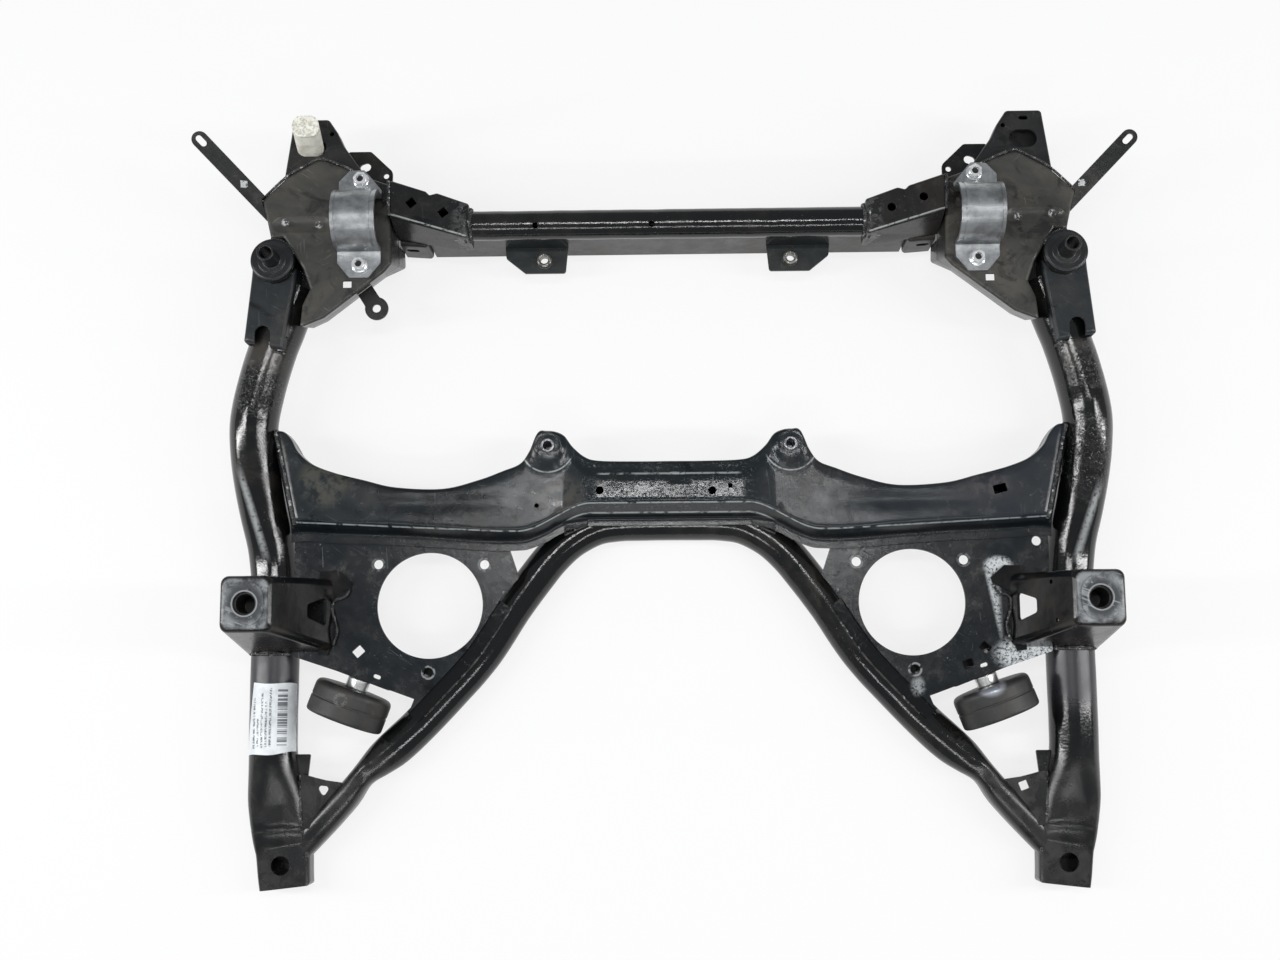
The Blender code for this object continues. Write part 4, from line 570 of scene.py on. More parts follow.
# Centres of the bolt heads' recesses, which get painted shade.
BOLT_RECESS_SHADE = [(side * 325.0, y) for side in (-1, 1) for y in CLAMP_BOLTS]
BOLT = bright_steel("bolt_plated_steel", (0.90, 0.91, 0.92), (0.62, 0.63, 0.64), 0.14, 0.6, BOLT_RECESS_SHADE)
BARE = bright_steel("worn_bare_steel", (0.24, 0.25, 0.26), (0.08, 0.08, 0.08), 0.26, 0.85)
SLEEVE = bright_steel("sleeve_dark_steel", (0.012, 0.012, 0.013), (0.004, 0.004, 0.004), 0.40, 0.2)
NUT = bright_steel("weld_nut_steel", (0.26, 0.26, 0.24), (0.08, 0.075, 0.065), 0.28, 0.8)
SPACER = bright_steel("spacer_bright_steel", (0.78, 0.79, 0.78), (0.50, 0.50, 0.48), 0.22, 0.9)
IRON = damper_iron()
RUBBER = rubber_finish()
PLUG = plug_finish()
LABEL = label_finish()
WELD = weld_finish()


# Mesh and object helpers

LOOK = bpy.data.collections.new("subframe_look")
BENCH = bpy.data.collections.new("bench")
for made_collection in (LOOK, BENCH):
    bpy.context.scene.collection.children.link(made_collection)


def add_object(name, mesh):
    obj = bpy.data.objects.new(name, mesh)
    BENCH.objects.link(obj)
    return obj


@contextmanager
def editing(mesh):
    """Opens a mesh for changes and writes them back."""
    shape = bmesh.new()
    shape.from_mesh(mesh)
    yield shape
    shape.to_mesh(mesh)
    shape.free()


def mesh_of(name, points, faces):
    mesh = bpy.data.meshes.new(name)
    mesh.from_pydata([Vector(point) * MM for point in points], [], faces)
    with editing(mesh) as shape:
        bmesh.ops.recalc_face_normals(shape, faces=shape.faces)
    return mesh


def evaluated(obj):
    bpy.context.view_layer.update()
    graph = bpy.context.evaluated_depsgraph_get()
    final = obj.evaluated_get(graph)
    mesh = bpy.data.meshes.new_from_object(final, preserve_all_data_layers=True, depsgraph=graph)
    mesh.transform(obj.matrix_world)
    return mesh


def taken(obj):
    """The object's final mesh. The object itself is removed."""
    mesh = evaluated(obj)
    bpy.data.objects.remove(obj, do_unlink=True)
    return mesh


def boolean(obj, other, operation="DIFFERENCE"):
    modifier = obj.modifiers.new("shape", "BOOLEAN")
    modifier.operation = operation
    modifier.solver = "EXACT"
    modifier.object = other
    return obj


def cut(obj, *cutters):
    for cutter in cutters:
        boolean(obj, cutter)
    return obj


def join(obj, *others):
    for other in others:
        boolean(obj, other, "UNION")
    return obj


def flipped(mesh):
    """The mesh on the other side of the car."""
    copy = mesh.copy()
    copy.transform(Matrix.Scale(-1, 4, (1, 0, 0)))
    copy.flip_normals()
    return copy


def place(mesh, name, material, nodes, slot, bevel=0.5, sharp=42.0):
    """Makes a shown piece: edges rounded, shading set, place baked in, and tied to its CAD nodes."""
    bench = add_object(name + "_bench", mesh)
    with editing(mesh) as shape:
        bmesh.ops.remove_doubles(shape, verts=shape.verts, dist=1e-6)
    mesh.shade_smooth()
    mesh.set_sharp_from_angle(angle=math.radians(sharp))
    if bevel:
        edge = bench.modifiers.new("edge", "BEVEL")
        edge.width = bevel * MM
        edge.segments = 2
        edge.limit_method = "ANGLE"
        edge.angle_limit = math.radians(sharp)
        edge.use_clamp_overlap = True
        edge.miter_outer = "MITER_ARC"
    weigh = bench.modifiers.new("shading", "WEIGHTED_NORMAL")
    weigh.keep_sharp = not bevel
    weigh.weight = 60
    final = taken(bench)
    final.transform(Matrix.Translation((0, DATUM_Y * MM, 0)))
    final.name = name
    final.materials.clear()
    final.materials.append(material)
    obj = bpy.data.objects.new(name, final)
    LOOK.objects.link(obj)
    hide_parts(*nodes)
    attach(obj, "root")


def pair(obj, name, material, slot, bevel=0.5, sharp=42.0):
    """Places the +X piece and its mirror image, each for its own CAD node."""
    mesh = taken(obj)
    other = flipped(mesh)
    place(mesh, f"{name}_look_right", material, [f"right_{name}"], slot, bevel, sharp)
    place(other, f"{name}_look_left", material, [f"left_{name}"], slot, bevel, sharp)


def single(obj, name, material, slot, bevel=0.5, sharp=42.0):
    place(taken(obj), name + "_look", material, [name], slot, bevel, sharp)


def two_sides(right, left, node, material, slot, bevel=0.6, sharp=40):
    """Places a right and a left piece that differ in their holes."""
    for side, obj in (("right", right), ("left", left)):
        place(taken(obj), f"{node}_look_{side}", material, [f"{side}_{node}"], slot, bevel, sharp)


# Outlines, in millimetres

def polar(centre, radius, degrees):
    angle = math.radians(degrees)
    return (centre[0] + radius * math.cos(angle), centre[1] + radius * math.sin(angle))


def circle(centre, diameter, sides=HOLE_SIDES):
    return [polar(centre, diameter / 2, 360 * (step + 0.5) / sides) for step in range(sides)]


def arc(centre, radius, start, end, steps):
    return [polar(centre, radius, start + (end - start) * step / steps) for step in range(steps + 1)]


def oval(centre, length, width, turn=0.0, steps=12):
    reach = (length - width) / 2
    points = []
    for offset, start in ((reach, -90), (-reach, 90)):
        points += arc((offset, 0), width / 2, start, start + 180, steps)
    return placed(points, centre, turn)


def rectangle(centre, length, width, turn=0.0, radius=0.8):
    x, y = length / 2, width / 2
    return placed(rounded([(-x, -y), (x, -y), (x, y), (-x, y)], radius, 0.0, 3), centre, turn)


def placed(points, centre, turn):
    cos, sin = math.cos(math.radians(turn)), math.sin(math.radians(turn))
    return [(centre[0] + x * cos - y * sin, centre[1] + x * sin + y * cos) for x, y in points]


def moved(corners, distance):
    """The corners moved outwards by a distance, or inwards by a negative one."""
    ends = list(zip(corners, corners[1:] + corners[:1]))
    area = sum(a[0] * b[1] - b[0] * a[1] for a, b in ends)
    out = distance if area > 0 else -distance
    points = []
    for index, corner in enumerate(corners):
        here = Vector(corner[:2])
        back = (here - Vector(corners[index - 1][:2])).normalized()
        ahead = (Vector(corners[(index + 1) % len(corners)][:2]) - here).normalized()
        normal = Vector((back.y + ahead.y, -back.x - ahead.x)).normalized()
        stretch = out / max(0.5, normal.dot(Vector((ahead.y, -ahead.x))))
        points.append((*(here + normal * stretch), *corner[2:]))
    return points


def rounded(corners, radius=3.0, grow=0.0, steps=CORNER_STEPS):
    """An outline with each corner turned into an arc. A corner's third value is a radius of its own."""
    corners = moved(corners, grow)
    points = []
    count = len(corners)
    for index, corner in enumerate(corners):
        here = Vector(corner[:2])
        back = Vector(corners[index - 1][:2]) - here
        ahead = Vector(corners[(index + 1) % count][:2]) - here
        half = back.angle(ahead) / 2
        size = corner[2] if len(corner) > 2 else radius
        reach = min(size / math.tan(half), 0.42 * back.length, 0.42 * ahead.length)
        size = reach * math.tan(half)
        middle = here + (back.normalized() + ahead.normalized()).normalized() * (size / math.sin(half))
        first = here + back.normalized() * reach - middle
        last = here + ahead.normalized() * reach - middle
        turn = first.angle_signed(last)
        for step in range(steps + 1):
            points.append(tuple(middle + Matrix.Rotation(-turn * step / steps, 2) @ first))
    return points


# Solids, in millimetres

def plate(name, outline, top, thickness, holes=()):
    """A flat plate from a filled 2D curve, made a mesh with its sides welded to its faces."""
    curve = bpy.data.curves.new(name, "CURVE")
    curve.dimensions = "2D"
    curve.fill_mode = "BOTH"
    curve.extrude = thickness / 2 * MM
    for loop in (outline, *holes):
        spline = curve.splines.new("POLY")
        spline.points.add(len(loop) - 1)
        spline.use_cyclic_u = True
        for point, (x, y) in zip(spline.points, loop):
            point.co = (x * MM, y * MM, 0, 1)
    guide = bpy.data.objects.new(name + "_curve", curve)
    BENCH.objects.link(guide)
    mesh = taken(guide)
    bpy.data.curves.remove(curve)
    with editing(mesh) as shape:
        bmesh.ops.remove_doubles(shape, verts=shape.verts, dist=1e-6)
        bmesh.ops.recalc_face_normals(shape, faces=shape.faces)
    obj = add_object(name, mesh)
    obj.location = (0, 0, (top - thickness / 2) * MM)
    return obj


def sideways(obj, low, high):
    """Turns a plate whose outline holds (y, z) so that it runs along X from low to high."""
    obj.matrix_basis = Matrix.Translation(((low + high) / 2 * MM, 0, 0)) @ Matrix(
        ((0, 0, 1, 0), (1, 0, 0, 0), (0, 1, 0, 0), (0, 0, 0, 1))
    )
    return obj


def lengthways(obj, low, high):
    """Turns a plate whose outline holds (x, z) so that it runs along Y from low to high."""
    obj.matrix_basis = Matrix.Translation((0, (low + high) / 2 * MM, 0)) @ Matrix(
        ((1, 0, 0, 0), (0, 0, -1, 0), (0, 1, 0, 0), (0, 0, 0, 1))
    )
    return obj


def block(name, low, high):
    mesh = bpy.data.meshes.new(name)
    with editing(mesh) as shape:
        bmesh.ops.create_cube(shape, size=1)
    low, high = Vector(low) * MM, Vector(high) * MM
    mesh.transform(Matrix.Diagonal((*(high - low), 1)))
    obj = add_object(name, mesh)
    obj.location = (low + high) / 2
    return obj


def rod(name, diameter, low, high, centre, sides=HOLE_SIDES):
    mesh = bpy.data.meshes.new(name)
    radius = diameter / 2 * MM
    with editing(mesh) as shape:
        bmesh.ops.create_cone(
            shape, cap_ends=True, segments=sides, radius1=radius, radius2=radius, depth=(high - low) * MM
        )
    obj = add_object(name, mesh)
    obj.location = (centre[0] * MM, centre[1] * MM, (low + high) / 2 * MM)
    return obj


def turned(name, profile, steps=56):
    """A closed profile of (radius, height) turned about the object's Z axis."""
    count = len(profile)
    points, faces = [], []
    on_axis = profile[0][0] == profile[-1][0] == 0
    for radius, height in profile:
        for step in range(steps):
            points.append((*polar((0, 0), radius, 360 * step / steps), height))
    for row in range(count - 1 if on_axis else count):
        after = (row + 1) % count
        for step in range(steps):
            side = (step + 1) % steps
            quad = (row * steps + step, row * steps + side, after * steps + side, after * steps + step)
            faces.append(quad)
    mesh = mesh_of(name, points, faces)
    with editing(mesh) as shape:
        bmesh.ops.remove_doubles(shape, verts=shape.verts, dist=1e-6)
        bmesh.ops.dissolve_degenerate(shape, edges=shape.edges, dist=1e-7)
        bmesh.ops.recalc_face_normals(shape, faces=shape.faces)
    return add_object(name, mesh)


def bend_point(first, corner, last, share):
    return first * (1 - share) ** 2 + corner * 2 * share * (1 - share) + last * share ** 2


def filleted(profile, radius, steps=4, closed=True):
    """Rounds the corners of a (radius, height) profile."""
    points = []
    count = len(profile)
    for index, corner in enumerate(profile):
        size = corner[2] if len(corner) > 2 else radius
        ends = not closed and index in (0, count - 1)
        if size == 0 or ends:
            points.append(tuple(corner[:2]))
            continue
        here = Vector(corner[:2])
        back = Vector(profile[index - 1][:2]) - here
        ahead = Vector(profile[(index + 1) % count][:2]) - here
        reach = min(size, 0.45 * back.length, 0.45 * ahead.length)
        first, last = here + back.normalized() * reach, here + ahead.normalized() * reach
        for step in range(steps + 1):
            share = step / steps
            points.append(tuple(bend_point(first, here, last, share)))
    return points


def smooth_path(stations, steps):
    """Catmull-Rom through stations of numbers, with the ends kept."""
    rows = []
    count = len(stations)
    for index in range(count - 1):
        p0 = stations[max(index - 1, 0)]
        p1, p2 = stations[index], stations[index + 1]
        p3 = stations[min(index + 2, count - 1)]
        for step in range(steps):
            t = step / steps
            row = []
            for a, b, c, d in zip(p0, p1, p2, p3):
                slope_b, slope_c = (c - a) / 2, (d - b) / 2
                row.append(
                    (2 * t ** 3 - 3 * t ** 2 + 1) * b + (t ** 3 - 2 * t ** 2 + t) * slope_b
                    + (-2 * t ** 3 + 3 * t ** 2) * c + (t ** 3 - t ** 2) * slope_c
                )
            rows.append(tuple(row))
    rows.append(tuple(stations[-1]))
    return rows


def tube(name, stations, wall=None, grow=0.0, sides=ROUND_SIDES, dent=None):
    """A loft through stations of (x, y, z, width, height, power). A dent moves points of the outer skin."""
    centres = [Vector(station[:3]) for station in stations]
    rings = []
    for shrink in (0.0, wall) if wall else (0.0,):
        for index, (centre, station) in enumerate(zip(centres, stations)):
            along = centres[min(index + 1, len(centres) - 1)] - centres[max(index - 1, 0)]
            side = along.cross(Vector((0, 0, 1))).normalized()
            up = side.cross(along).normalized()
            spread = 2 * (grow - shrink)
            width, height, power = station[3] + spread, station[4] + spread, station[5]
            ring = []
            for step in range(sides):
                angle = 2 * math.pi * (step + 0.5) / sides
                across, rise = math.cos(angle), math.sin(angle)
                x = math.copysign(abs(across) ** (2 / power), across) * width / 2
                y = math.copysign(abs(rise) ** (2 / power), rise) * height / 2
                point = centre + side * x + up * y
                if dent:
                    point += (side * across + up * rise) * dent(point, angle)
                ring.append(point)
            rings.append(ring)
    points = [point for ring in rings for point in ring]
    length = len(stations)
    faces = []
    for skin in range(len(rings) // length):
        for row in range(length - 1):
            for step in range(sides):
                a = (skin * length + row) * sides + step
                b = (skin * length + row) * sides + (step + 1) % sides
                quad = (a, b, b + sides, a + sides)
                faces.append(quad if skin == 0 else quad[::-1])
    for row in (0, length - 1):
        first = row * sides
        if wall:
            inner = first + length * sides
            for step in range(sides):
                after = (step + 1) % sides
                faces.append((first + step, first + after, inner + after, inner + step))
        else:
            faces.append(tuple(range(first, first + sides)))
    return add_object(name, mesh_of(name, points, faces))


def blend_shape(one, two, share):
    return [
        (a[0] + (b[0] - a[0]) * share, a[1] + (b[1] - a[1]) * share, *a[2:]) for a, b in zip(one, two)
    ]


def pressing(name, top_shape, low_shape, top, low, thickness=SHEET, draft=(0.0, 0.0), fillet=4.0, radius=3.0):
    """A pressed box open below, with a rounded upper edge. The shapes are corner lists of equal length."""
    def ring(z, inset, offset):
        share = (top - z) / (top - low)
        shape = blend_shape(top_shape, low_shape, share)
        grow = draft[0] + (draft[1] - draft[0]) * share - inset - offset
        return [(x, y, z) for x, y in rounded(shape, radius, grow)]

    rings = []
    steps = 5
    for skin, size in ((0.0, fillet), (thickness, max(1.0, fillet - thickness))):
        loops = []
        crown = top - skin
        for step in range(steps + 1):
            angle = math.pi / 2 * step / steps
            loops.append(ring(crown - size * (1 - math.cos(angle)), size * (1 - math.sin(angle)), skin))
        loops.append(ring(low, 0.0, skin))
        rings += loops if skin == 0 else loops[::-1]
    count = len(rings[0])
    points = [point for loop in rings for point in loop]
    faces = [tuple(range(count)), tuple(range(len(points) - count, len(points)))]
    for level in range(len(rings) - 1):
        for step in range(count):
            after = (step + 1) % count
            high, under = level * count, (level + 1) * count
            faces.append((high + step, under + step, under + after, high + after))
    return add_object(name, mesh_of(name, points, faces))


# Side rails and V brace

def rail_stations():
    low = RAIL_OD / 2
    front, tall = 56.0 - low, 9.0
    flat = [
        (407.0, -402.4, 54.0, 32.0, 6.0),
        (408.5, -388.0, 55.5, 32.0, 6.0),
        (410.0, -366.0, 57.5, 33.0, 5.5),
        (411.5, -356.0, 59.0, 34.0, 5.0),
        (413.0, -345.0, 60.5, 38.0, 4.0),
        (415.0, -330.0, 61.5, 41.0, 3.3),
        (418.5, -306.0, 60.0, 44.0, 2.8),
        (422.5, -270.0, 52.0, 50.0, 2.0),
    ]
    stations = [(x, y, height / 2, width, height, power) for x, y, width, height, power in flat]
    for x, y in ((0.0, -235.0), (0.0, -200.0), (0.0, -167.0), (0.0, -130.0), (1.0, -93.0), (4.0, -62.0)):
        stations.append((RAIL_X + x, y, low, RAIL_OD, RAIL_OD, 2.0))
    bend = [
        (7.5, -37.0, 0.10, 0.0),
        (14.5, -5.0, 0.30, 0.1),
        (20.0, 29.0, 0.54, 0.3),
        (23.0, 62.0, 0.74, 0.6),
        (22.5, 92.0, 0.86, 0.9),
        (14.5, 130.0, 0.95, 1.0),
        (3.5, 168.0, 1.0, 1.0),
        (-4.5, 190.0, 1.0, 1.0),
        (-12.0, 212.0, 1.0, 1.0),
        (-20.0, 236.0, 1.0, 1.0),
    ]
    for x, y, rise, stretch in bend:
        stations.append((RAIL_X + x, y, low + front * rise, RAIL_OD, RAIL_OD + tall * stretch, 2.0))
    return smooth_path(stations, 5)


# The V brace's right arm from its middle, and the points that the engine-mount plate runs along
BRACE_ARM = [
    (0.0, -19.0), (28.0, -19.1), (55.0, -19.8), (80.0, -24.0), (105.0, -37.0), (123.0, -52.5),
    (140.0, -72.5), (169.0, -112.0), (194.0, -151.0), (210.0, -172.0), (230.0, -194.0),
    (266.0, -232.0), (293.0, -257.0),
]
MOUNT_RUN = (7, 11)


def brace_stations():
    right = [(x, y, BRACE_Z, BRACE_OD, BRACE_OD, 2.0) for x, y in BRACE_ARM]
    pinch = [
        (310.0, -271.0, 35.0, 40.0, 2.2), (328.0, -288.0, 25.0, 41.0, 2.8), (344.0, -309.0, 28.0, 41.0, 3.0),
        (368.0, -336.0, 28.0, 37.0, 3.0), (402.0, -371.0, 28.0, 28.0, 3.0),
    ]
    right += [(x, y, 1 + height / 2, width, height, power) for x, y, width, height, power in pinch]
    left = [(-station[0], *station[1:]) for station in reversed(right[1:])]
    return smooth_path(left + right, 4)


def bell(value, centre, width):
    return math.exp(-((value - centre) / width) ** 2)


def rail_dent(point, angle):
    """Bending wrinkles across the top by the front bend, and the crease where the end is flattened."""
    top = max(0.0, math.sin(angle - 0.25)) ** 3
    wrinkle = 1.0 * bell(point.y, 106, 2.4) - 0.8 * bell(point.y, 101.5, 2.2) + 0.6 * bell(point.y, 97.5, 2.2)
    wave = 0.15 * noise.noise(Vector((point.x, point.y, point.z)) * 0.035)
    upper = max(0.0, math.sin(angle)) ** 2
    crease = -1.3 * bell(point.y, -341, 2.2) + 0.7 * bell(point.y, -336, 2.6)
    hollow = -1.2 * bell(point.y, -318, 9) * bell(point.x, 420, 16)
    return top * wrinkle + wave + upper * (crease + hollow)


def brace_dent(point, angle):
    """Folds left by the pinching near each foot."""
    x, y = abs(point.x), point.y
    top = max(0.0, math.sin(angle)) ** 2
    along = (x - 324) * 0.66 - (y + 285) * 0.75
    across = (x - 324) * 0.75 + (y + 285) * 0.66
    fold = -2.2 * bell(along, 4, 7) * bell(across, -3, 7) + 1.3 * bell(along, -8, 6) * bell(across, 5, 6)
    rut = -1.1 * bell(along, 20, 3.0)
    wave = 0.2 * noise.noise(Vector((x, y, point.z)) * 0.045)
    return top * (fold + rut) + wave


RAIL_CUT = tube("rail_cutter", rail_stations()[::2], grow=GAP, sides=32)
RAIL_CUT_LEFT = add_object("rail_cutter_left", flipped(RAIL_CUT.data))
BRACE_CUT = tube("brace_cutter", brace_stations()[::2], grow=GAP, sides=28)


def side_rails():
    rail = tube("rail", rail_stations(), SHEET, dent=rail_dent, sides=48)
    bore = rod("rail_bolt_bore", 20.0, 16, 40, RAIL_BOLT)
    size = 9.0
    corner = [(375.0, -407.4), (380.0 + size, -407.4)]
    corner += arc((380.0 + size, -402.4 + size), size, 270, 180, 10)
    corner += [(375.0, -402.4 + size)]
    barrel = rod("rail_barrel_trim", 46.6, 0, 160, BUSH, sides=48)
    cut(rail, bore, plate("rail_corner_trim", corner, 56.0, 60.0), barrel)
    pair(rail, "side_rail", PAINT, "tube_paint", bevel=0.7, sharp=48)


def v_brace():
    brace = tube("brace", brace_stations(), 2.5, dent=brace_dent, sides=44)
    single(cut(brace, RAIL_CUT, RAIL_CUT_LEFT), "v_brace", PAINT, "tube_paint", bevel=0.4, sharp=55)


# Crossmember: front edge (x, y), rear crease (x, y), and how far the middle swage is formed

CROSS_LAYOUT = [
    (0.0, 41.0, 0.0, -4.0, 1.0), (37.0, 41.0, 37.0, -4.0, 1.0), (74.0, 42.0, 74.0, -4.0, 1.0),
    (89.0, 46.0, 91.0, -5.5, 0.6), (102.0, 57.0, 105.0, -10.0, 0.2), (111.0, 69.0, 113.0, -14.0, 0.0),
    (120.0, 73.5, 121.0, -18.0, 0.0), (129.5, 74.6, 128.5, -22.5, 0.0), (139.0, 73.0, 136.0, -26.0, 0.0),
    (148.0, 53.0, 149.0, -31.0, 0.0), (158.0, 39.5, 158.0, -32.5, 0.0), (176.0, 32.0, 178.0, -33.0, 0.0),
    (202.0, 22.5, 203.0, -32.0, 0.0), (240.0, 13.5, 242.0, -29.0, 0.0), (290.0, 15.5, 288.0, -26.0, 0.0),
    (324.0, 23.5, 316.0, -25.0, 0.0), (355.0, 31.5, 340.0, -24.0, 0.0), (379.0, 41.0, 359.0, -23.0, 0.0),
    (394.0, 54.0, 372.0, -22.0, 0.0), (402.0, 68.0, 383.0, -21.0, 0.0), (411.0, 76.5, 391.0, -21.0, 0.0),
    (425.0, 77.5, 403.0, -22.0, 0.0),
]


def cross_relief(x, y):
    """Height of the pressed details over the crossmember's flat top, in datum millimetres."""
    side = abs(x)
    ear = math.hypot(side - RACK_BOSS[0], y - RACK_BOSS[1])
    rise = 1.6 * (1 - smooth(ear, 15.5, 19.5)) + 1.2 * (1 - smooth(ear, 26, 31))
    rise += 0.5 * bell(ear, 14.5, 1.6)
    rise *= smooth(side, 98, 106)
    dip = max(abs(x - 8) - 8 + (22 - y) * 0.35, abs(y - 22.5) - 5.5)
    rise -= 2.0 * (1 - smooth(dip, -1.5, 0.8))
    slant = y - 33.0 - (side - 336.5) * 0.04
    louvre = max(abs(side - 336.5) - 9.5, 0) + max(slant, 0) * 4 + max(24 - y, 0) * 0.35
    rise -= 2.8 * (1 - smooth(louvre, 0.0, 2.2)) * smooth(y, 22, 31)
    rise -= 1.4 * bell(side, 250, 60) * bell(y, -2, 9)
    rise += 0.25 * noise.noise(Vector((x, y, 3.0)) * 0.03)
    if x > 0:
        rise -= 1.1 * bell(math.hypot(x - 118, y + 12), 0, 4.0)
    else:
        rise -= 0.9 * bell(math.hypot(x + 116, y + 16), 0, 4.5)
    return rise


def smooth(value, low, high):
    share = min(1.0, max(0.0, (value - low) / (high - low)))
    return share * share * (3 - 2 * share)


def section_line(corners, radius, counts):
    """A line of 3D points through corners: rounded bends, and each straight split in equal parts."""
    ends = []
    for index, corner in enumerate(corners):
        here = Vector(corner)
        if index in (0, len(corners) - 1):
            ends.append((here, here, here))
            continue
        back, ahead = Vector(corners[index - 1]) - here, Vector(corners[index + 1]) - here
        reach = min(radius, 0.45 * back.length, 0.45 * ahead.length)
        ends.append((here + back.normalized() * reach, here, here + ahead.normalized() * reach))
    points = []
    for index, (first, here, last) in enumerate(ends):
        if 0 < index < len(corners) - 1:
            for share in (0.0, 0.25, 0.5, 0.75):
                points.append(bend_point(first, here, last, share))
        if index < len(corners) - 1:
            start, stop = last, ends[index + 1][0]
            for step in range(counts[index]):
                points.append(start.lerp(stop, step / counts[index]))
    points.append(Vector(corners[-1]))
    return points


def cross_upper_rows(skin=0.0):
    """Rows across the upper pressing: its outer skin, or the inner one at a depth."""
    rows = []
    side_foot = CROSS_SPLIT + SHEET
    middle_foot = BRACE_TOP + GAP + SHEET
    layout = smooth_path(CROSS_LAYOUT, 7)
    for number, (front_x, front_y, rear_x, rear_y, swage) in enumerate(layout):
        front, rear = Vector((front_x, front_y)), Vector((rear_x, rear_y))
        inward = (rear - front).normalized()
        drop = 12.0 * smooth(number, len(layout) - 7, len(layout) - 1)
        swage = min(1.0, max(0.0, swage))
        top = CROSS_TOP - drop
        foot = side_foot + (middle_foot - side_foot) * min(1.0, swage * 1.4)
        bend = max(foot + 1, top - 17 + 4 * swage)
        corners = [
            (*(front + inward * skin), CROSS_SPLIT),
            (*(front + inward * skin), top - 1.0 - skin),
            (*(front + inward * 11), top - skin),
            (*(front + inward * 18), top + CROSS_SWAGE * swage - skin),
            (rear.x, rear.y + 1 + 0.6 * skin, top + CROSS_SWAGE * swage - skin),
            (rear.x, rear.y - 8 + 0.9 * skin, bend - 0.3 * skin),
            (rear.x, rear.y - 11 - 2 * swage + 0.5 * skin, foot - skin),
            (rear.x, rear.y - 19 - 2 * swage, foot - skin),
        ]
        line = section_line(corners, 4.0 - 0.9 * skin, (3, 4, 2, 12, 3, 1, 2))
        row = []
        for point in line:
            flat = smooth(point.z, top - skin - 4, top - skin - 1.0)
            row.append(Vector((point.x, point.y, point.z + flat * cross_relief(point.x, point.y))))
        rows.append(row)
    return rows


def both_halves(rows, relief=False):
    left = []
    for row in reversed(rows[1:]):
        flat = []
        for point in row:
            shift = cross_relief(-point.x, point.y) - cross_relief(point.x, point.y) if relief else 0.0
            flat.append((-point.x, point.y, point.z + (shift if point.z > CROSS_TOP - 9 else 0.0)))
        left.append(flat)
    return left + [[tuple(point) for point in row] for row in rows]


def stitched(name, outer, inner):
    """A closed pressing from the rows of its outer and inner skins."""
    across, length = len(outer[0]), len(outer)
    size = across * length
    points = [point for row in outer + inner for point in row]
    faces = []
    for row in range(length - 1):
        for step in range(across - 1):
            first = row * across + step
            quad = (first, first + 1, first + 1 + across, first + across)
            faces.append(quad)
            faces.append(tuple(index + size for index in quad[::-1]))
    rim = list(range(across))
    rim += [row * across + across - 1 for row in range(1, length)]
    rim += [(length - 1) * across + step for step in range(across - 2, -1, -1)]
    rim += [row * across for row in range(length - 2, 0, -1)]
    for a, b in zip(rim, rim[1:] + rim[:1]):
        faces.append((a, b, b + size, a + size))
    return add_object(name, mesh_of(name, points, faces))


def shell(name, rows, thickness):
    """A pressing: the surface through rows of points, and the same surface lowered by its thickness."""
    across, length = len(rows[0]), len(rows)
    mesh = bpy.data.meshes.new(name)
    points = [point for row in rows for point in row]
    faces = []
    for row in range(length - 1):
        for step in range(across - 1):
            first = row * across + step
            faces.append((first, first + 1, first + 1 + across, first + across))
    mesh.from_pydata([Vector(point) * MM for point in points], [], faces)
    obj = add_object(name, mesh)
    wall = obj.modifiers.new("wall", "SOLIDIFY")
    wall.thickness = thickness * MM
    wall.offset = -1
    wall.use_even_offset = True
    wall.use_quality_normals = True
    return obj


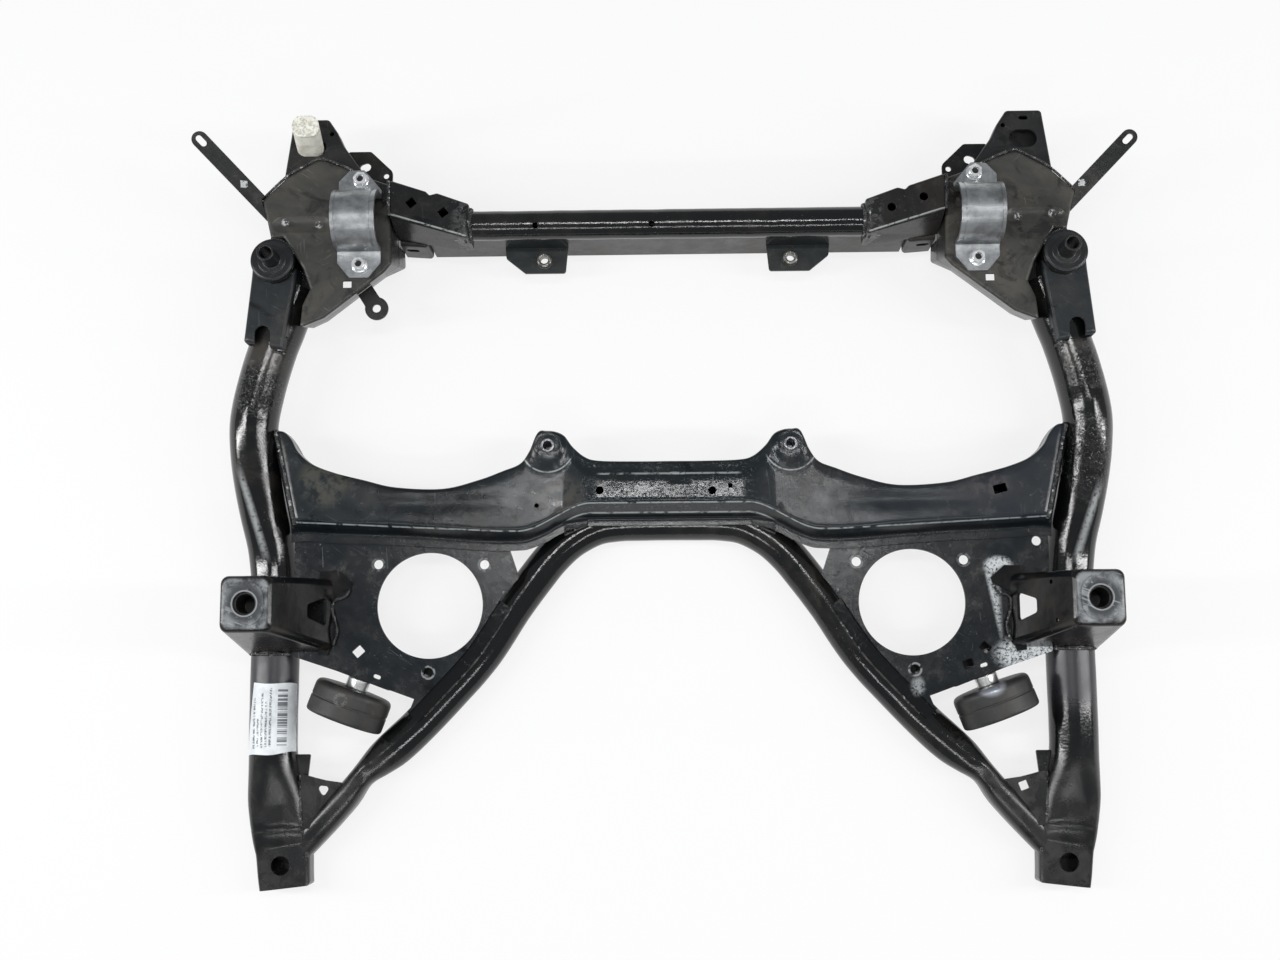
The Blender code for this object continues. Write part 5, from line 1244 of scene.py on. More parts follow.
def crossmember():
    outer, inner = (both_halves(cross_upper_rows(skin), True) for skin in (0.0, SHEET))
    upper = stitched("crossmember_upper", outer, inner)
    cut(upper, RAIL_CUT, RAIL_CUT_LEFT, BRACE_CUT)
    low, high = CROSS_SPLIT - 2, CROSS_TOP + 12
    for side in (-1, 1):
        cut(upper, rod("boss_hole", 15.6, low, high, (side * RACK_BOSS[0], RACK_BOSS[1])))
    for x, y, size in ((-73.0, 9.0, 8.5), (45.0, 8.0, 8.5), (-140.0, -6.0, 5.0), (64.0, 13.0, 5.0)):
        cut(upper, rod("cross_hole", size, low, high, (x, y)))
    cut(upper, plate("cross_slot", rectangle((347.0, 8.0), 14.0, 9.0, 14.0), high, high - low))
    single(upper, "crossmember_upper", CROSS, "sheet_paint", bevel=0.4, sharp=50)

    rows = []
    for front_x, front_y, rear_x, rear_y, swage in smooth_path(CROSS_LAYOUT, 3):
        front, rear = Vector((front_x, front_y)), Vector((rear_x, rear_y))
        inward = (rear - front).normalized()
        corners = [
            (*front, CROSS_SPLIT - GAP - 0.7),
            (*(front + inward * 3), 35.0),
            (*(front + inward * 12), 27.0),
            (rear.x, rear.y + 6, 27.0),
            (rear.x, rear.y - 6, 33.0),
            (rear.x, rear.y - 11, 44.4 - 6 * min(1.0, max(0.0, swage))),
        ]
        rows.append(section_line(corners, 5.0, (2, 1, 5, 2, 2))[::-1])
    lower = shell("crossmember_lower", both_halves(rows), SHEET)
    cut(lower, RAIL_CUT, RAIL_CUT_LEFT, BRACE_CUT)
    for side in (-1, 1):
        cut(lower, rod("lower_boss_hole", 15.6, 0, CROSS_SPLIT, (side * RACK_BOSS[0], RACK_BOSS[1])))
    single(lower, "crossmember_lower", CROSS, "sheet_paint", bevel=0.3, sharp=50)

    top = CROSS_TOP + 1.5
    profile = [
        (0.0, top - 28), (4.5, top - 28, 0.6), (4.5, top + 1.6, 0.8), (7.5, top + 1.6, 0.9),
        (7.5, top - 34, 0.6), (0.0, top - 34),
    ]
    boss = turned("rack_boss", filleted(profile, 1.0, closed=False))
    boss.location = (RACK_BOSS[0] * MM, RACK_BOSS[1] * MM, 0)
    pair(boss, "rack_boss", BARE, "bare_steel", bevel=0)


# Engine-mount plates and dampers

def brace_side(offset, inset=0.0):
    """Points beside the V brace's right arm where the mount plate meets it, offset to its outer side."""
    first, last = MOUNT_RUN
    points = []
    for index in range(first, last + 1):
        here = Vector(BRACE_ARM[index])
        along = (Vector(BRACE_ARM[index + 1]) - Vector(BRACE_ARM[index - 1])).normalized()
        shift = along * inset * ((index == first) - (index == last))
        points.append(tuple(here + shift + Vector((-along.y, along.x)) * offset))
    return [tuple(point) for point in smooth_path(points, 4)]


def damper_frame():
    turn = Matrix.Rotation(DAMPER_TURN, 4, "Z") @ Matrix.Rotation(math.radians(90), 4, "X")
    return Matrix.Translation(Vector(DAMPER_CENTRE) * MM) @ turn


def engine_mount_plates():
    step = 14.0
    axis = Vector((math.sin(DAMPER_TURN), -math.cos(DAMPER_TURN)))
    along = Vector((axis.y, -axis.x))
    face = Vector(DAMPER_CENTRE[:2]) - axis * 29.0
    outline = [(400.0, -36.0), (399.5, -161.5), tuple(face - along * 25), (270.0, -207.0)]
    outline += brace_side(step)[::-1]
    outline += [(160.0, -80.0), (173.0, -41.0)]
    holes = [
        circle(MOUNT_CENTRE, 112.0, 96),
        circle((310.0, -65.0), 10.0),
        circle((197.0, -66.0), 10.0),
        circle(BLIND_NUT, 10.0),
        circle((176.0, -96.0), 4.0),
        rectangle((329.5, -157.0), 11.0, 9.0, -42.0),
    ]
    base = plate("mount", outline, MOUNT_TOP, SHEET, holes)
    flange_top = BRACE_TOP + GAP + SHEET
    strip = brace_side(1.0) + brace_side(step + SHEET)[::-1]
    flange = plate("mount_brace_flange", strip, flange_top, SHEET)
    rise = brace_side(step + 0.6, 1.3) + brace_side(step + SHEET - 0.4, 1.3)[::-1]
    low = flange_top - SHEET / 2
    riser = plate("mount_riser", rise, MOUNT_TOP - 0.5, MOUNT_TOP - 0.5 - low)
    high = MOUNT_TOP - 0.6
    skirt = plate("mount_skirt", [(386.5, high), (391.4, high), (402.0, 30.0), (398.5, 30.0)], 0, 75.0)
    lengthways(skirt, -157.0, -82.0)
    low = DAMPER_CENTRE[2] - 18
    end, other = face - along * 22, face + along * 34
    tab_line = [tuple(point) for point in (end, other, other - axis * 3, end - axis * 3)]
    tab = plate("mount_damper_flange", tab_line, high, high - low)
    nut = rod("blind_nut", 15.0, 33, MOUNT_TOP - 1.2, BLIND_NUT)
    join(base, flange, riser, skirt, tab, nut)
    cut(base, rod("blind_nut_bore", 10.0, 36, MOUNT_TOP + 5, BLIND_NUT))
    stud_hole = rod("stud_hole", 8.6, -60, 60, (0, 0))
    stud_hole.matrix_basis = damper_frame()
    cut(base, RAIL_CUT, BRACE_CUT, stud_hole)
    mesh = taken(base)
    slot = plate("right_slot", oval((327.4, -175.5), 8.0, 4.0, 20.0), 60, 20)
    right = add_object("mount_right", mesh)
    for centre, turn in (((329.5, -157.0), -42.0), ((311.0, -174.0), 18.0)):
        cage = plate("right_cage", rectangle(centre, 16.0, 13.0, turn), MOUNT_TOP - SHEET + 0.2, 18.0)
        cut(join(right, cage), plate("right_cage_room", rectangle(centre, 11.0, 9.0, turn), 60, 29))
    below = plate("right_window_room", rectangle((379.0, -117.0), 30.0, 32.0), 60, 20)
    cut(right, slot, below, rod("right_drain", 10.0, 40, 60, (387.4, -45.5)))
    slot = plate("left_slot", oval((-309.4, -183.5), 8.0, 4.0, -20.0), 60, 20)
    left = cut(add_object("mount_left", flipped(mesh)), slot)
    two_sides(right, left, "engine_mount_plate", MOUNT, "sheet_paint", 0.5)


def dampers():
    length, outer = 18.0, 41.5
    depth = length - 8.0
    profile = [
        (0.0, length), (24.0, length, 1.0), (26.0, length - 1.5, 1.0), (30.0, length - 1.5, 1.0),
        (32.0, length, 1.0), (outer, length, 11.0), (outer, 1.5, 0.4), (outer - 0.6, 0.9, 0.4),
        (outer - 0.6, -0.4, 0.4), (outer, -1.0, 0.4), (outer, -length, 11.0), (4.3, -length, 0.5),
        (4.3, depth, 0.5), (0.0, depth),
    ]
    drum = turned("drum", filleted(profile, 1.0, 6, closed=False), 88)
    drum.matrix_basis = damper_frame()
    pair(drum, "damper_drum", IRON, "damper_iron", bevel=0)
    face, seat = -length - GAP, -29.0 + GAP
    profile = [
        (0.0, depth - GAP), (4.0, depth - GAP, 0.4), (4.0, face, 0),
        (12.0, face, 0.8), (12.0, seat, 0.8), (4.0, seat, 0), (4.0, seat - 9, 0.8), (0.0, seat - 9),
    ]
    stud = turned("stud", filleted(profile, 0.5, 3, closed=False))
    stud.matrix_basis = damper_frame()
    pair(stud, "damper_stud", SPACER, "bare_steel", bevel=0)


# Towers

def towers():
    x, y = TOWER_CENTRE
    low = 30.0
    fall = (TOWER_TOP - low) / (TOWER_TOP - MOUNT_TOP)
    top = [(x - 25.5, y - 28), (x + 25.5, y - 28), (x + 25.5, y + 28), (x - 25.5, y + 28)]
    foot = [(356.0, -157.0), (453.5, -157.0), (453.5, -80.0), (356.0, -80.0)]
    base = [tuple(Vector(a) + (Vector(b) - Vector(a)) * fall) for a, b in zip(top, foot)]
    tower = pressing("tower", top, base, TOWER_TOP - 1.2, low, fillet=5.0, radius=8.0)
    pad_line = [(x - 20.0, y - 22.5), (x + 20.0, y - 22.5), (x + 20.0, y + 22.5), (x - 20.0, y + 22.5)]
    pad = plate("tower_pad_core", rounded(pad_line, 17.0, -1.0, 8), TOWER_TOP - 0.05, 3.5)
    lip_top = MOUNT_TOP + GAP + SHEET
    lip = [(372.0, -72.0), (352.0, -71.0), (337.0, -84.0), (339.0, -90.0)]
    lip += arc((300.0, -113.0), 56.5, 16, -22, 12)
    lip += [(362.0, -161.0), (372.0, -160.0)]
    join(tower, plate("tower_lip", lip, lip_top, SHEET), pad)
    below = block("tower_below", (300, -200, 0), (403.0, -40, MOUNT_TOP + GAP))
    window_line = rounded([(-100.0, 61.0), (-131.0, 61.0), (-123.0, 90.0), (-109.0, 90.0)], 4.0, 0.0, 5)
    window = sideways(plate("tower_window", window_line, 0, 60.0), 340.0, 400.0)
    hollow = block("tower_slack", (452.5, -200, 0), (513.5, -40, 34.0))
    hole = rod("tower_hole", 24.0, TOWER_TOP - 12, TOWER_TOP + 5, TOWER_CENTRE, 48)
    inside = [tuple(Vector(a) + (Vector(b) - Vector(a)) * 0.97) for a, b in zip(top, foot)]
    room = plate("tower_room", rounded(inside, 6.0, -SHEET - 0.5), lip_top + 1, SHEET + 3)
    cut(tower, room, below, RAIL_CUT, window, hollow, hole)
    mesh = taken(tower)
    place(flipped(mesh), "tower_look_left", TOWER, ["left_tower"], "tube_paint", 0.6, 38)
    right = add_object("tower_right", mesh)
    for spot in ((384.5, -93.5, 112.0), (386.4, -132.6, 119.0)):
        pin = rod("tower_pin", 4.6, -6, 6, (0, 0))
        pin.matrix_basis = Matrix.Translation(Vector(spot) * MM) @ Matrix.Rotation(-1.13, 4, "Y")
        cut(right, pin)
    place(taken(right), "tower_look_right", TOWER, ["right_tower"], "tube_paint", 0.6, 38)
    seat = TOWER_TOP - SHEET - 1.8
    profile = [
        (0.0, seat - 34), (9.5, seat - 34), (9.5, seat, 1.2), (15, seat), (15, seat - 38), (0.0, seat - 38),
    ]
    sleeve = turned("sleeve", filleted(profile, 0.6, closed=False))
    sleeve.location = (x * MM, y * MM, 0)
    pair(sleeve, "tower_sleeve", SLEEVE, "bare_steel", bevel=0)


# Front corners

CORNER = [
    (432.0, 321.0, 3), (406.0, 346.0, 6), (371.0, 366.0, 14), (346.0, 357.0, 10), (330.0, 349.0, 3),
    (297.0, 337.0, 3), (293.0, 250.0, 4), (300.0, 241.0, 4), (363.0, 192.0, 3), (388.0, 182.0, 2),
    (386.0, 206.0, 2), (378.0, 224.0, 2), (386.0, 246.0, 3), (408.0, 281.0, 3), (421.0, 279.0, 3),
    (427.0, 305.0, 5),
]
CORNER_FOOT = {
    6: (293.8, 267.0, 4), 7: (313.0, 258.0, 4), 8: (376.0, 209.0, 3),
    9: (386.0, 204.0, 2), 10: (384.0, 214.0, 2),
}
PAN_SKIRT = 32.0
EAR = [
    (352.0, 340.0), (352.0, 384.0, 6), (346.0, 387.0), (323.0, 387.0, 5), (299.0, 364.0, 7), (299.0, 340.0),
]
BARREL_CUT = rod("barrel_cutter", 46.6, 0, 160, BUSH, sides=48)


def corner_at(height):
    """The corner's outline at a height. Its walls lean inwards at the rear inner corner."""
    low = [CORNER_FOOT.get(place, corner) for place, corner in enumerate(CORNER)]
    return blend_shape(CORNER, low, (CORNER_TOP - height) / (CORNER_TOP - PAN_TOP + PAN_SKIRT))


def corner_cutter(name, grow, side=1, height=CORNER_TOP):
    return plate(name, [(side * x, y) for x, y in rounded(corner_at(height), 3.0, grow)], 130, 140)


def corner_boxes():
    floor = PAN_TOP + GAP
    corner = pressing("corner", CORNER, corner_at(floor), CORNER_TOP, floor, draft=(0.4, 3.0), fillet=3.4)
    start, end, rise = 366.0, 412.0, CORNER_TOP + GROOVE_RADIUS - GROOVE_DEPTH
    groove_line = arc((GROOVE_Y, rise), GROOVE_RADIUS, -20, -160, 24)
    cut(corner, sideways(plate("corner_groove", groove_line, 0, end - start), start, end))
    for x in (start, end):
        ball = bpy.data.meshes.new("groove_ball")
        with editing(ball) as shape:
            bmesh.ops.create_uvsphere(shape, u_segments=48, v_segments=32, radius=GROOVE_RADIUS * MM)
        cap = add_object("groove_cap", ball)
        cap.location = (x * MM, GROOVE_Y * MM, rise * MM)
        cut(corner, cap)
    for y in CLAMP_BOLTS:
        cut(corner, rod("corner_bolt_hole", 9.0, CORNER_TOP - 8, CORNER_TOP + 5, (CLAMP_X - 1, y)))
    cut(corner, plate("corner_square", rectangle((339.0, 228.0), 9.5, 7.5), CORNER_TOP + 5, 20))
    cut(corner, BARREL_CUT, RAIL_CUT)
    pair(corner, "corner_plate", CORNER_PAINT, "corner_paint", bevel=0.5, sharp=40)

    low = PAN_TOP - PAN_SKIRT
    pan = pressing("pan", corner_at(PAN_TOP), corner_at(low), PAN_TOP, low, draft=(2.8, 5.0), fillet=3.4)
    holes = [oval((329.0, 369.0), 12.0, 9.0, -20.0), circle((306.0, 359.0), 6.0)]
    ear = plate("ear", rounded(EAR, 2.0), PAN_TOP - 0.9, SHEET - 0.4, holes)
    web_line = [(374.0, 216.0), (400.0, 226.0), (402.0, 270.0), (392.0, 268.0)]
    web = plate("pan_web", web_line, PAN_TOP - 1.2, SHEET - 0.6)
    square = plate("pan_square", rectangle((347.2, 238.5), 13.0, 11.0), PAN_TOP + 5, 15)
    cut(join(pan, ear, web), square, BARREL_CUT, RAIL_CUT)
    pair(pan, "corner_lower_plate", PAN_PAINT, "sheet_paint", bevel=0.5, sharp=40)


def front_brackets():
    corners = [
        (415.0, 335.0, 2), (404.0, 417.0, 4), (366.0, 417.0, 5), (356.0, 402.0, 4), (349.0, 387.0, 4),
        (329.0, 359.0, 3), (340.0, 335.0, 2),
    ]
    bracket = pressing("front_bracket", corners, corners, 85.0, PAN_TOP + GAP, fillet=3.4)
    keep_out = corner_cutter("front_bracket_trim", 3.3)
    hole = plate("front_bracket_hole", oval((383.0, 385.0), 30.0, 20.0, 0.0, 18), 90, 15)
    slot = plate("front_bracket_slot", oval((384.0, 408.0), 10.0, 4.5), 90, 15)
    floor = PAN_TOP + GAP + 0.6 + SHEET
    join(bracket, plate("front_bracket_floor", rounded(corners, 3.0, -1.0), floor, SHEET))
    cut(bracket, keep_out, hole, slot, rod("front_pin", 5.0, 75, 90, (362.0, 400.0)))
    pair(bracket, "front_bracket", FRONT_PAINT, "sheet_paint", bevel=0.5, sharp=40)

    line = oval((-385.0, 384.5), 29.0, 19.0, 0.0, 24)
    plug = plate("plug_body", line, 136.0, 136.0 - floor - GAP)
    slope_line = [(370.0, 122.0), (400.0, 133.0), (400.0, 150.0), (370.0, 150.0)]
    slope = sideways(plate("plug_slope", slope_line, 0, 60.0), -413.0, -353.0)
    mesh = taken(cut(plug, slope))
    pivot = 85 * MM
    lean_x, lean_y = 0.10, 0.20
    mesh.transform(Matrix((
        (1, 0, lean_x, -lean_x * pivot), (0, 1, lean_y, -lean_y * pivot), (0, 0, 1, 0), (0, 0, 0, 1),
    )))
    single(add_object("plug_leaning", mesh), "plug", PLUG, "plug_plastic", bevel=1.2, sharp=40)


def stays():
    """Flat bars rising outwards from the corner boxes. The left one is bent further up."""
    root, tip = Vector((427.0, 312.0)), Vector((488.5, 375.0))
    run = (tip - root).length
    shift = Matrix.Translation(Vector((*root, 95.0)) * MM)
    turn = Matrix.Rotation(math.atan2(tip.y - root.y, tip.x - root.x), 4, "Z")
    for side, climb in (("right", 14.0), ("left", 45.0)):
        length = math.hypot(run, climb)
        outline = [(-8.0, 8.5), (-8.0, -8.5), *arc((length, 0), 8.5, -90, 90, 20)]
        stay = plate("stay", outline, STRAP / 2, STRAP, [oval((length - 2, 0), 13.0, 6.5)])
        stay.matrix_basis = shift @ turn @ Matrix.Rotation(-math.atan2(climb, run), 4, "Y")
        mesh = taken(cut(stay, corner_cutter("stay_trim", 0.4)))
        if side == "left":
            mesh = flipped(mesh)
        place(mesh, f"stay_look_{side}", STAY_PAINT, [f"{side}_stay"], "tube_paint", 0.6, 40)


def bar_clamps():
    """A half-moon strap with a raised rim on each side of its arch, and two bolted feet."""
    foot = CORNER_TOP + GAP
    middle = sum(CLAMP_BOLTS) / 2
    radius = 31.0
    spring = 148.0 - radius
    low, high = CLAMP_BOLTS
    reach = 13.0

    def strap_line(outer_grow, inner_grow):
        big, small = radius + outer_grow, radius - STRAP + inner_grow
        line = [(low - reach, foot + STRAP), (middle - big - 6, foot + STRAP)]
        line += [(middle - big - 1.5, foot + STRAP + 1.5), (middle - big, foot + STRAP + 6)]
        line += arc((middle, spring), big, 180, 0, 40)
        line += [(middle + big, foot + STRAP + 6), (middle + big + 1.5, foot + STRAP + 1.5)]
        line += [(middle + big + 6, foot + STRAP), (high + reach, foot + STRAP)]
        line += [(high + reach, foot), (middle + small + 3, foot), (middle + small, foot + 3)]
        line += arc((middle, spring), small, 0, 180, 40)
        line += [(middle - small, foot + 3), (middle - small - 3, foot), (low - reach, foot)]
        return line

    half = 23.0
    strap = sideways(plate("strap", strap_line(-0.9, 0.0), 0, 2 * half), CLAMP_X - half, CLAMP_X + half)
    for start, end in ((-half + 0.01, -half + 3.4), (-half + 5.6, -half + 8.0), (half - 3.6, half - 0.01)):
        rib_line = arc((middle, spring), radius, 174, 6, 40)
        rib_line += arc((middle, spring), radius - 3.0, 6, 174, 40)
        rib = sideways(plate("strap_rib", rib_line, 0, end - start), CLAMP_X + start, CLAMP_X + end)
        join(strap, rib)
    x = CLAMP_X
    plan = [
        (x - 24, low + 4), (x - 10, low - reach), (x + 10, low - reach), (x + 24, low + 4),
        (x + 24, high - 2), (x + 12, high + reach - 2), (x - 4, high + reach - 1), (x - 24, high - 12),
    ]
    boolean(strap, plate("clamp_plan", rounded(plan, 3.0), 153, 80), "INTERSECT")
    for y in CLAMP_BOLTS:
        cut(strap, rod("clamp_hole", 9.0, foot - 5, foot + STRAP + 5, (x - 1, y)))
    pair(strap, "bar_clamp", ZINC, "clamp_zinc", bevel=0.9, sharp=38)

    seat = STRAP + 2 * GAP
    bolt = turned("bolt_body", filleted([
        (0.0, seat + 4.0), (5.0, seat + 4.0, 0), (6.6, seat + 2.4, 0.6), (8.5, seat + 1.3, 0.6),
        (8.5, seat, 0.3), (4.0, seat, 0), (4.0, -18.0, 1.0), (0.0, -18.0),
    ], 0.5, 3, closed=False), 48)
    across = 13.0 / math.cos(math.pi / 6)
    top = seat + 9.5
    head = rod("bolt_head", across, seat + 1.6, top, (0, 0), 6)
    crown_line = [(0.0, top + 3.5), (4.3, top + 2.0), (7.9, top - 1.6), (7.9, seat), (0.0, seat)]
    boolean(head, turned("bolt_crown", crown_line, 48), "INTERSECT")
    cut(head, rod("bolt_dish", 7.6, top - 3.2, top + 3, (0, 0), 40))
    shared = taken(join(bolt, add_object("bolt_head_done", taken(head))))
    for side, sign in (("right", 1), ("left", -1)):
        for spot, y in zip(("rear", "front"), CLAMP_BOLTS):
            mesh = shared.copy()
            mesh.transform(Matrix.Rotation(0.3 * sign + y, 4, "Z"))
            mesh.transform(Matrix.Translation(Vector((sign * (CLAMP_X - 1), y, CORNER_TOP)) * MM))
            node = f"{side}_clamp_bolt_{spot}"
            place(mesh, node + "_look", BOLT, [node], "bolt_steel", 0.35, 35)


def bushes():
    spot = (BUSH[0] * MM, BUSH[1] * MM, 0)
    profile = filleted([(23, 97.7), (23, 52), (19, 52), (19, 97.7)], 1.0)
    barrel = turned("barrel", profile, 64)
    barrel.location = spot
    pair(barrel, "bush_barrel", PAINT, "tube_paint", bevel=0)
    profile = filleted([(18.7, 96.7), (18.7, 55), (9.3, 55), (9.3, 96.7)], 2.0)
    rubber = turned("rubber", profile, 48)
    rubber.location = spot
    pair(rubber, "bush_rubber", RUBBER, "rubber", bevel=0)
    profile = filleted([
        (6.25, 131.0, 1.0), (9.0, 131.0, 0.9), (9.0, 105.5, 0.5), (10.0, 104.6, 0.5), (14.5, 104.3, 0.5),
        (15.2, 103.6, 0.4), (20.5, 103.6, 0.6), (23.0, 102.6, 1.0), (23.0, 98.0, 0.8), (9.0, 98.0, 0),
        (9.0, 50.0, 0.6), (6.25, 50.0, 0.6),
    ], 0.6)
    spool = turned("spool", profile, 64)
    spool.location = spot
    pair(spool, "bush_spool", COLLAR, "tube_paint", bevel=0)


def channel_brackets():
    corners = [
        (395.5, 250.0, 2), (396.0, 235.0, 2), (407.5, 160.0, 2), (450.0, 169.0, 3), (443.5, 240.0, 2),
        (443.0, 250.0, 2),
    ]
    channel = pressing("channel", corners, corners, CHANNEL_TOP, 52.0, draft=(0.0, 0.4), fillet=4.2)
    room_line = placed([(-30, -12), (30, -12), (30, 12), (-30, 12)], (429.0, 160.0), -8.0)
    room = plate("channel_room", room_line, CHANNEL_TOP - SHEET - 0.5, 60)
    notch = [(421.5, 145.0), (421.5, 177.0), *arc((429.8, 178.0), 8.3, 172, 8, 20)]
    notch += [(438.1, 177.0), (438.1, 145.0)]
    mouth = plate("channel_notch", notch[::-1], CHANNEL_TOP + 5, 20)
    cut(channel, room, mouth, RAIL_CUT, BARREL_CUT, corner_cutter("channel_trim", 5.3))
    pair(channel, "channel_bracket", CHANNEL_PAINT, "channel_paint", bevel=0.8, sharp=40)


# Front cross tube, its brackets and the lower beam

def front_tube_and_beam():
    def ends(reach):
        return [(x, TUBE_Y, TUBE_Z, TUBE_OD, TUBE_OD, 2.0) for x in (-reach, reach)]

    stations = [(x, TUBE_Y, TUBE_Z, TUBE_OD, TUBE_OD, 2.0) for x in range(-226, 227, 4)]

    def wobble(point, angle):
        scuff = 0.5 * bell(math.hypot(point.x - 110, point.y - 291), 0, 8) * max(0, math.sin(angle)) ** 4
        return 0.3 * noise.noise(Vector((point.x, point.y, point.z)) * 0.04) - scuff

    beam = tube("front_tube", stations, 2.5, dent=wobble, sides=48)
    for x in (-139.0, -16.0):
        cut(beam, rod("tube_hole", 6.5, TUBE_Z, TUBE_Z + 40, (x, 287.0)))
    single(beam, "front_cross_tube", PAINT, "tube_paint", bevel=0.4, sharp=50)
    tube_cut = tube("front_tube_cutter", ends(226.0), grow=GAP, sides=48)

    upper = [
        (294.0, 338.0, 3), (255.0, 325.0, 4), (251.0, 321.0, 2), (243.0, 323.0, 4), (209.0, 310.6, 3),
        (209.0, 272.4, 3), (294.0, 298.0, 3),
    ]
    foot = upper[:-1] + [(294.0, 286.0, 3)]
    high, low = BRACKET_TOP, BRACKET_TOP - 47.8
    bracket = pressing("bracket", upper, foot, high, low, fillet=3.3)
    rib_line = [(216.0, 275.6), (216.0, 280.0), (289.0, 302.4), (289.0, 298.0)]
    rib = plate("bracket_rib", rounded(rib_line, 1.5, 0.0, 3), high + 1.0, 3.0)
    join(bracket, rib, plate("bracket_floor", rounded(foot, 3.0, -1.0), low + 0.6 + SHEET, SHEET))
    cut(bracket, corner_cutter("bracket_trim", 3.3), tube_cut)
    mesh = taken(bracket)
    right, left = add_object("bracket_right", mesh), add_object("bracket_left", flipped(mesh))
    for x, y in ((270.0, 312.0), (236.0, 301.0)):
        cut(right, rod("bracket_hole", 9.0, high - 10, high + 5, (x, y)))
        cut(left, plate("bracket_square", rectangle((-x, y), 9.0, 9.0, 38.0), high + 5, 15))
    two_sides(right, left, "beam_bracket", BRACKET, "tube_paint")

    corners = [(300.0, 326.0), (259.3, 322.0), (259.3, 278.0), (300.0, 281.0)]
    lower = pressing("lower_bracket", corners, corners, low - GAP, 20.0, fillet=4.0, radius=4.0)
    side_hole = plate("lower_bracket_hole", oval((278.0, 48.0), 14.0, 8.0), 0, 30)
    lengthways(side_hole, 270.0, 292.0)
    cut(lower, side_hole, corner_cutter("lower_bracket_trim", 5.3))
    pair(lower, "beam_lower_bracket", BEAM_PAINT, "sheet_paint", bevel=0.5, sharp=40)

    top = TUBE_Z - TUBE_OD / 2 - GAP
    section = filleted([
        (309.0, top, 0), (285.0, top, 4.0), (285.0, 0.0, 4.0), (309.0, 0.0, 0), (309.0, SHEET, 0),
        (288.0, SHEET, 1.5), (288.0, top - SHEET, 1.5), (309.0, top - SHEET, 0),
    ], 1.0, 5)
    beam = sideways(plate("lower_beam", section, 0, 518.0), -259.0, 259.0)
    for sign in (-1, 1):
        near, far = 208.0 * sign, 264.0 * sign
        cut(beam, block("beam_end", (min(near, far), 275, low - 2 * GAP), (max(near, far), 319, top + 5)))
    single(beam, "lower_front_beam", BEAM_PAINT, "sheet_paint", bevel=0.5, sharp=40)

    rear = 285.0 - GAP
    corners = [(111.0, 253.0, 3), (155.0, 253.0, 3), (176.0, 270.0, 4), (177.0, rear), (108.0, rear)]
    hanger = plate("hanger", rounded(corners, 1.0), 45.0, SHEET)
    back_line = [(108.0, 44.0), (177.0, 44.0), (168.0, top - 4), (117.0, top - 4)]
    back = lengthways(plate("hanger_back", rounded(back_line, 2.0), 0, SHEET), rear - SHEET, rear)
    cut(join(hanger, back), rod("hanger_hole", 9.0, 35, 50, HANGER_NUT))
    pair(hanger, "hanger_bracket", HANGER_PAINT, "sheet_paint", bevel=0.6, sharp=40)
    seat = 45.0 + GAP
    profile = filleted([
        (6.6, seat + 8, 0.8), (8.0, seat + 7.2, 0.5), (8.0, seat + 1.6, 0.4), (8.6, seat + 1.0, 0.4),
        (8.6, seat, 0.2), (4.2, seat, 0.3), (4.2, seat + 7.2, 0.4), (5.2, seat + 8, 0.4),
    ], 0.5, 3)
    nut = turned("nut", profile, 48)
    nut.location = (HANGER_NUT[0] * MM, HANGER_NUT[1] * MM, 0)
    pair(nut, "hanger_nut", NUT, "bare_steel", bevel=0)


# Small welded pieces and the label

def small_pieces():
    corners = [
        (390.0, -284.0), (376.0, -288.0, 3), (364.0, -291.0), (343.0, -294.0, 2), (352.0, -315.0),
        (380.0, -341.0), (392.0, -340.0),
    ]
    gusset = plate("gusset", rounded(corners, 1.0), 36.0, SHEET)
    cut(gusset, RAIL_CUT, BRACE_CUT)
    mesh = taken(gusset)
    right, left = add_object("gusset_right", mesh), add_object("gusset_left", flipped(mesh))
    cut(right, plate("gusset_square", rectangle((366.6, -300.0), 9.0, 9.0, 20.0), 60, 50))
    triangle = rounded([(-359.0, -297.5, 3), (-374.0, -296.0, 3), (-366.5, -309.0, 3)], 3.0)
    cut(left, plate("gusset_triangle", triangle, 60, 50))
    two_sides(right, left, "foot_gusset", PAINT, "tube_paint")
    lug_line = rounded([(382.0, -264.0), (410.0, -264.0), (410.0, -289.0), (384.5, -289.0)], 1.5, 0.0, 4)
    lug = cut(plate("lug", lug_line, 30.0, SHEET), RAIL_CUT)
    pair(lug, "rail_lug", PAINT, "tube_paint", bevel=0.5, sharp=40)

    neck, centre = Vector((-330.0, 236.0)), Vector((-312.0, 208.0))
    along = (centre - neck).normalized()
    side = Vector((-along.y, along.x)) * 9.0
    end = math.degrees(math.atan2(along.y, along.x))
    outline = [tuple(neck + side), tuple(neck - side), tuple(centre - along * 11 - side)]
    outline += arc(tuple(centre), 12.5, end - 132, end + 132, 36)
    outline += [tuple(centre - along * 11 + side)]
    tab = plate("ring_tab_plate", outline, 75.0, SHEET, [circle(tuple(centre), 9.0)])
    cut(tab, corner_cutter("ring_tab_trim", 2.7, side=-1, height=75.0))
    single(tab, "ring_tab", FRONT_PAINT, "sheet_paint", bevel=0.7, sharp=40)


